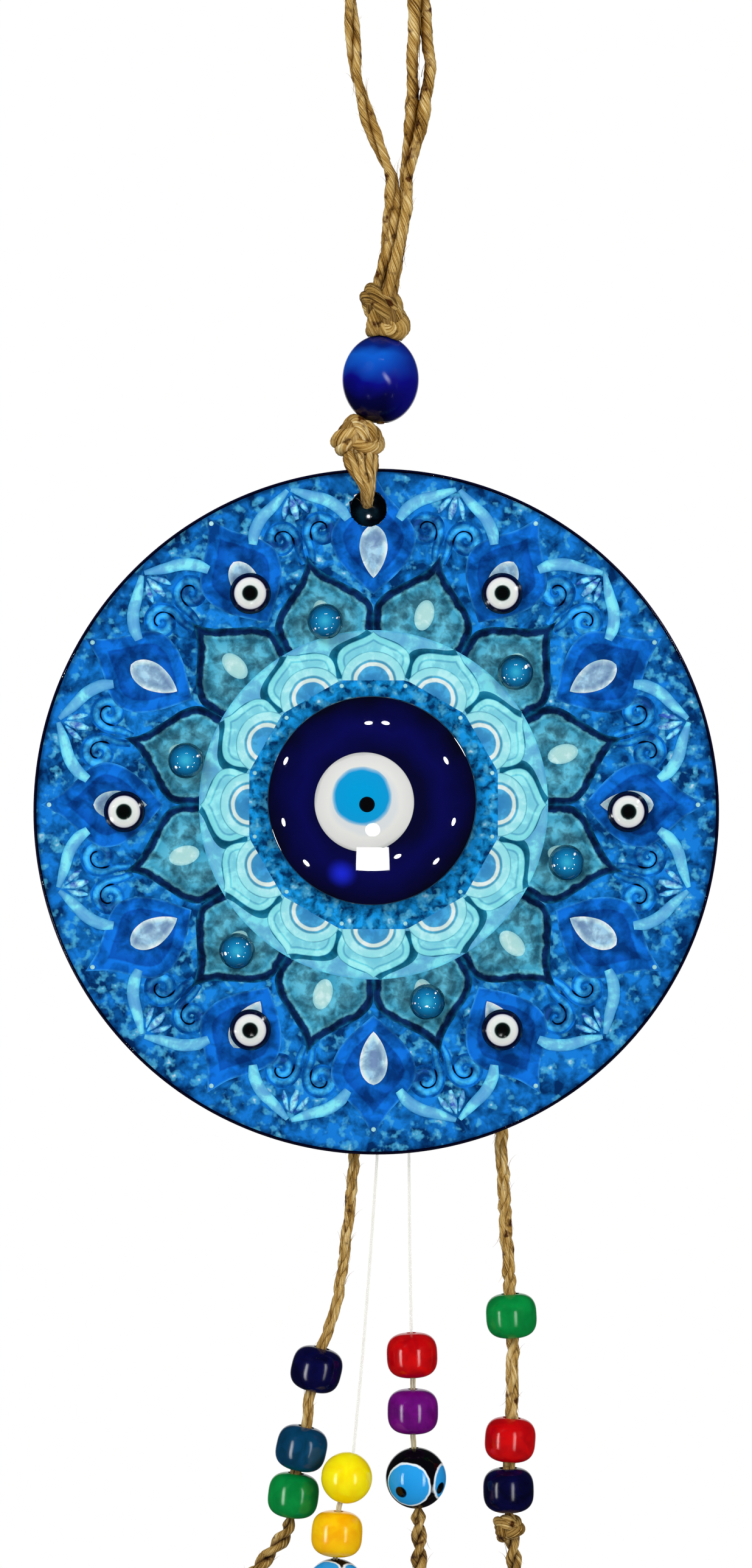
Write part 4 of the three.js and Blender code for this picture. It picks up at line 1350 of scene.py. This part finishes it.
def glass(name, bands, reach, roughness=0.03, soften=0.0, coat=1.0, painted_glow=None):
    """Glass drawn opaque: bands of colour in from its edge, under a smooth fire-polished gloss. On
    the cobalt and the drops the bands also hold painted shade and light. The painted glow is a
    patch of painted light where light would come back out of the glass, and its reach and colour."""
    material, tree = started(name)
    place = add(tree, "TexCoord", output="Object")
    colour = banded(tree, place, bands, reach, 7, soften)
    if painted_glow:
        middle, painted_glow_reach, tint = painted_glow
        far = add(tree, "VectorMath", place, metres(middle), operation="DISTANCE")
        painted_glow_share = add(tree, "MapRange", far, painted_glow_reach * MM, 0.0, interpolation_type="SMOOTHSTEP")
        colour = add(tree, "Mix", painted_glow_share, colour, srgb(tint), data_type="RGBA")
    shader = add(
        tree, "BsdfPrincipled", Base_Color=colour, Roughness=roughness, Coat_Weight=coat,
        Coat_Roughness=0.02
    )
    add(tree, "OutputMaterial", Surface=shader)
    return material


def make_centre_eye():
    """Cobalt dome with white, sky blue and black glass in its front."""
    rim = (EYE_MIDDLE, EYE_RADIUS)
    white = (WHITE_MIDDLE, WHITE_RADIUS)
    sky = (SKY_MIDDLE, SKY_RADIUS)
    pupil = (PUPIL_MIDDLE, PUPIL_RADIUS)
    point = (PUPIL_MIDDLE, 0.01)
    layers = (
        # The cobalt darkens towards its edge, which is painted shade.
        ("cobalt", lens(white, rim, 40), "cobalt_glass",
         [(0, "010118"), (2, "020230"), (7, "050550"), (12, "03032c")], 12, 6.0),
        ("white", lens(sky, white, 16, 0.02), "white_glass",
         [(0, "bcbebc"), (0.6, "dcdcd9"), (3, "e5e5e1"), (4, "dadee0")], 4, 1.5),
        ("sky", lens(pupil, sky, 16, 0.03), "sky_glass",
         [(0, "d4dcde"), (0.35, "88bcdc"), (0.9, "0a98d4"), (4, "009cd8")], 5, 1.6),
        ("pupil", lens(point, pupil, 6, 0.04), "black_glass",
         [(0, "05141c"), (0.35, "020204")], 1.7, 0.0),
    )
    for name, made, slot, bands, reach, soften in layers:
        # Painted glow: a patch of painted light low on the left of the cobalt.
        painted_glow = ((-7.6, -7.5, -13.6), 3.9, "1a28d8") if name == "cobalt" else None
        finish = glass(f"{name}_glass", bands, reach, soften=soften, painted_glow=painted_glow)
        piece(f"centre_eye_{name}_lens", made, finish, "disc", slot, [f"centre_eye_{name}"])


DOME_SIDES = 64


def dome(radius, height, middle):
    """A flat-backed dome on the coat: its edge stands a quarter of its height and draws in by an
    eighth of it at the foot."""
    r = radius * np.sin(np.linspace(0.01, math.pi / 2, 24))[:, None]
    x, z = around(middle, r, DOME_SIDES)
    y = crown(x, z, middle, radius, height, height / 4)
    x, y, z = footed(x, y, z, middle, 1 - height / 8 / radius)
    made = sheet(x, y, z, edge=radius - np.hypot(x - middle[0], z - middle[1]))
    made["faces"].append(np.arange(DOME_SIDES)[None] + (len(x) - 1) * DOME_SIDES)
    return made


# Each ring of cabochons: its first angle, its radius, and its cabochons' radius and height.
SMALL_EYES = (60, 55, 4.5, 3.2)
GLASS_DROPS = (45, 43, 3.9, 3.6)


def make_cabochons():
    """Small eyes and glass drops on the coat, each kind in a ring of its own."""
    bands = [
        (0, "02021a"), (0.95, "04042c"), (1.15, "d8dae0"), (1.6, "ecece8"), (2.6, "dce4e0"),
        (2.9, "0c2420"), (3.3, "030505")
    ]
    eye_glass = glass("small_eye_glass", bands, 4.5, roughness=0.16, coat=0.0)
    # The drops are drawn opaque: their dark edge and pale middle are painted shade and painted
    # light  in place of light through clear glass.
    bands = [(0, "021c2c"), (0.5, "043850"), (1.1, "086090"), (2.2, "0c7eb4"), (3.9, "38b4d8")]
    drop_glass = glass("drop_glass", bands, 3.9, soften=1.0)
    for i in range(6):
        for name, (first, ring_radius, radius, height), material, slot in (
            ("small_eye", SMALL_EYES, eye_glass, "cobalt_glass"),
            ("glass_drop", GLASS_DROPS, drop_glass, "drop_glass"),
        ):
            a = math.radians(first + 60 * i)
            middle = (ring_radius * math.cos(a), ring_radius * math.sin(a))
            node = f"{name}_{i + 1}"
            piece(f"{node}_dome", dome(radius, height, middle), material, "disc", slot, [node])


make_centre_eye()
make_cabochons()


def hot_glue():
    """Set hot glue: cloudy, rubbery and half clear."""
    material, tree = started("hot_glue")
    place = add(tree, "TexCoord", output="Object")
    cloud = add(tree, "TexNoise", Vector=place, Scale=per_mm(2.5), Detail=3.0)
    colour = add(tree, "ValToRGB", cloud, stops=((0.3, "cfc9b4"), (0.7, "efecdf")))
    lumps = add(tree, "Bump", Height=cloud, Strength=0.4, Distance=0.3 * MM)
    shader = add(
        tree, "BsdfPrincipled", Base_Color=colour, Roughness=0.32, Transmission_Weight=0.35,
        Normal=lumps
    )
    add(tree, "OutputMaterial", Surface=shader)
    return material


def make_dabs():
    """A dab of glue on the back over the end of each cord."""
    finish = hot_glue()
    a = np.linspace(0, math.pi / 2, 18)[:, None]
    b = circle(48)[None]
    for seed, (name, at) in enumerate(ROUTES.items()):
        height = 2 * STRANDS[name]["radius"] + 2 * CORD_GAP + DAB_COVER
        wave = 1 + 0.05 * np.sin(3 * b + seed) + 0.04 * np.sin(5 * b - 2 * seed)
        r = DAB_RADIUS * np.sin(a) ** 0.8 * wave
        x, _, z = at["glued"]
        blob = sheet(x + r * np.cos(b), BACK_Y + height * np.cos(a) ** 0.8, z + r * np.sin(b))
        piece(f"{name}_glue", blob, finish, "disc", "glue", [f"glue_dab_{name}"])


make_dabs()


def make_light():
    """The world: white to the camera, through clear pieces and straight behind the object, a plain
    grey room for the light, and a darker one in reflections."""
    world = bpy.data.worlds.new("studio")
    bpy.context.scene.world = world
    world.use_nodes = True
    tree = world.node_tree
    tree.nodes.clear()
    rays = add(tree, "LightPath").node.outputs
    way = add(tree, "TexCoord", output="Generated")
    behind = add(tree, "SeparateXYZ", way, output="Y")
    backdrop = add(tree, "MapRange", behind, 0.9, 0.93)
    glossy = add(tree, "Math", rays["Is Glossy Ray"], backdrop, operation="MULTIPLY")
    shown = add(tree, "Math", rays["Is Camera Ray"], glossy, operation="MAXIMUM")
    shown = add(tree, "Math", shown, rays["Is Transmission Ray"], operation="MAXIMUM")
    room = add(tree, "Mix", rays["Is Glossy Ray"], srgb("a2a4a6"), srgb("2c2d30"), data_type="RGBA")
    colour = add(tree, "Mix", shown, room, (1.0, 1.0, 1.0, 1.0), data_type="RGBA")
    light = add(tree, "Background", Color=colour, Strength=1.0)
    add(tree, "OutputWorld", Surface=light)


HIGHLIGHT_ONLY = {"visible_diffuse": False, "visible_camera": False, "visible_transmission": False}


def lamp(name, place, size, power, aim, along, spread, shape, **seen):
    """A soft lamp at a place in millimetres, turned to its aim, that shines into a cone of its
    spread. Its width lies along a line, and its turns are those of the matrix whose columns are
    that line, the line square to it and the way back from the aim."""
    data = bpy.data.lights.new(name, "AREA")
    data.shape, data.energy, data.spread = shape, power, math.radians(spread)
    data.size, data.size_y = np.array(size) * MM
    made = placed(name, data)
    made.location = metres(place)
    place, aim, along = (np.array(part, float) for part in (place, aim, along))
    back = unit(place - aim)
    across = unit(along - (along @ back) * back)
    turn = stacked(across, np.cross(back, across), back)
    tips = (math.atan2(turn[2, 1], turn[2, 2]), -math.asin(turn[2, 0]))
    made.rotation_euler = (*tips, math.atan2(turn[1, 0], turn[0, 0]))
    for key, value in seen.items():
        setattr(made, key, value)


make_light()
ACROSS = (1, 0, 0)
AHEAD = ((0, 0, 0), ACROSS, 180, "RECTANGLE")
lamp("key", (-700, -900, 700), (500, 500), 9.5, *AHEAD, visible_glossy=False)
lamp("fill", (900, -900, 200), (700, 700), 6, *AHEAD, visible_glossy=False)


# Where the glints lie on the dome, across and up from its middle.
GLINT_PLACES = (
    (-0.8, 17.3), (3.0, 17.3), (16.5, 8.9), (18.2, -4.8), (14.3, -13.6), (5.7, -12.5),
    (-14.7, -14.0), (-19.3, 8.8), (-19.8, -4.9)
)


def glints():
    """Small bright lamps all round the camera that show only as glints on glass. Each is placed by
    where its glint lies on the centre dome: the face there tilts by asin(offset / sphere radius),
    and the lamp stands at twice that tilt."""
    sphere = sphere_radius(EYE_RADIUS, EYE_HEIGHT - EYE_EDGE_HEIGHT)
    middle = np.array([EYE_MIDDLE[0], 0, EYE_MIDDLE[1]])
    for number, (across, up) in enumerate(GLINT_PLACES):
        off = math.hypot(across, up)
        turn = 2 * math.asin(off / sphere)
        way = np.array([across / off * math.sin(turn), -math.cos(turn), up / off * math.sin(turn)])
        form = ((74, 34), 0.001, middle, (-up, 0, across), 8.4, "ELLIPSE")
        lamp(f"glint_{number}", middle + VIEW_DISTANCE * way, *form, **HIGHLIGHT_ONLY)


glints()
for glint in (
    # The window's glint on the dome, and a smaller one above it: close by, with narrow cones.
    ("window", (0, -115, -86), (50, 38), 0.006, (-0.3, -9, -10.6), ACROSS, 36, "RECTANGLE"),
    ("window_top", (0, -154, -49), (26, 24), 0.0003, (-0.3, -10, -4.2), ACROSS, 28, "ELLIPSE"),
    # A dot low on the left of each glass drop and a streak high on its right. They stand too far to
    # the side to show on the flatter dome in the middle.
    ("drop_dot", (-137, -31, -54), (34, 32), 0.004, (0, 0, 0), ACROSS, 40, "ELLIPSE"),
    ("drop_streak", (124, -31, 78), (28, 52), 0.005, (0, 0, 0), ACROSS, 40, "ELLIPSE"),
    # A dot below the middle of the pooled resin.
    ("pool_dot", (-1.7, -49, 31.5), (20, 18), 0.0006, HOLE, ACROSS, 20, "ELLIPSE"),
    # One streak on the blue bead.
    ("bead_streak", (19, -57, 95), (52, 8), 0.0011, BLUE_BEAD, (1, 0, -1), 36, "RECTANGLE"),
    # Two upright strips beside the strands make the streaks on the barrel beads.
    ("left_strip", (-95, -75, -142), (24, 90), 0.012, (0, 0, -142), (0, 1, 0), 60, "RECTANGLE"),
    ("right_strip", (56, -80, -142), (18, 90), 0.008, (12, 0, -142), ACROSS, 60, "RECTANGLE"),
):
    lamp(*glint, **HIGHLIGHT_ONLY)


def make_floor():
    """A plain pale floor below the lowest tail."""
    material, tree = started("pale_floor")
    shader = add(tree, "BsdfPrincipled", Base_Color=srgb("efefec"), Roughness=0.9)
    add(tree, "OutputMaterial", Surface=shader)
    wide, near, far, z = 900.0, -900.0, 420.0, -260.0
    corners = np.array([[-wide, near, z], [wide, near, z], [wide, far, z], [-wide, far, z]])
    floor = piece("floor", skin(corners, [np.array([[0, 1, 2, 3]])]), material, smooth=False)
    floor.visible_glossy = False


make_floor()
bpy.context.scene.view_settings.view_transform = "Standard"
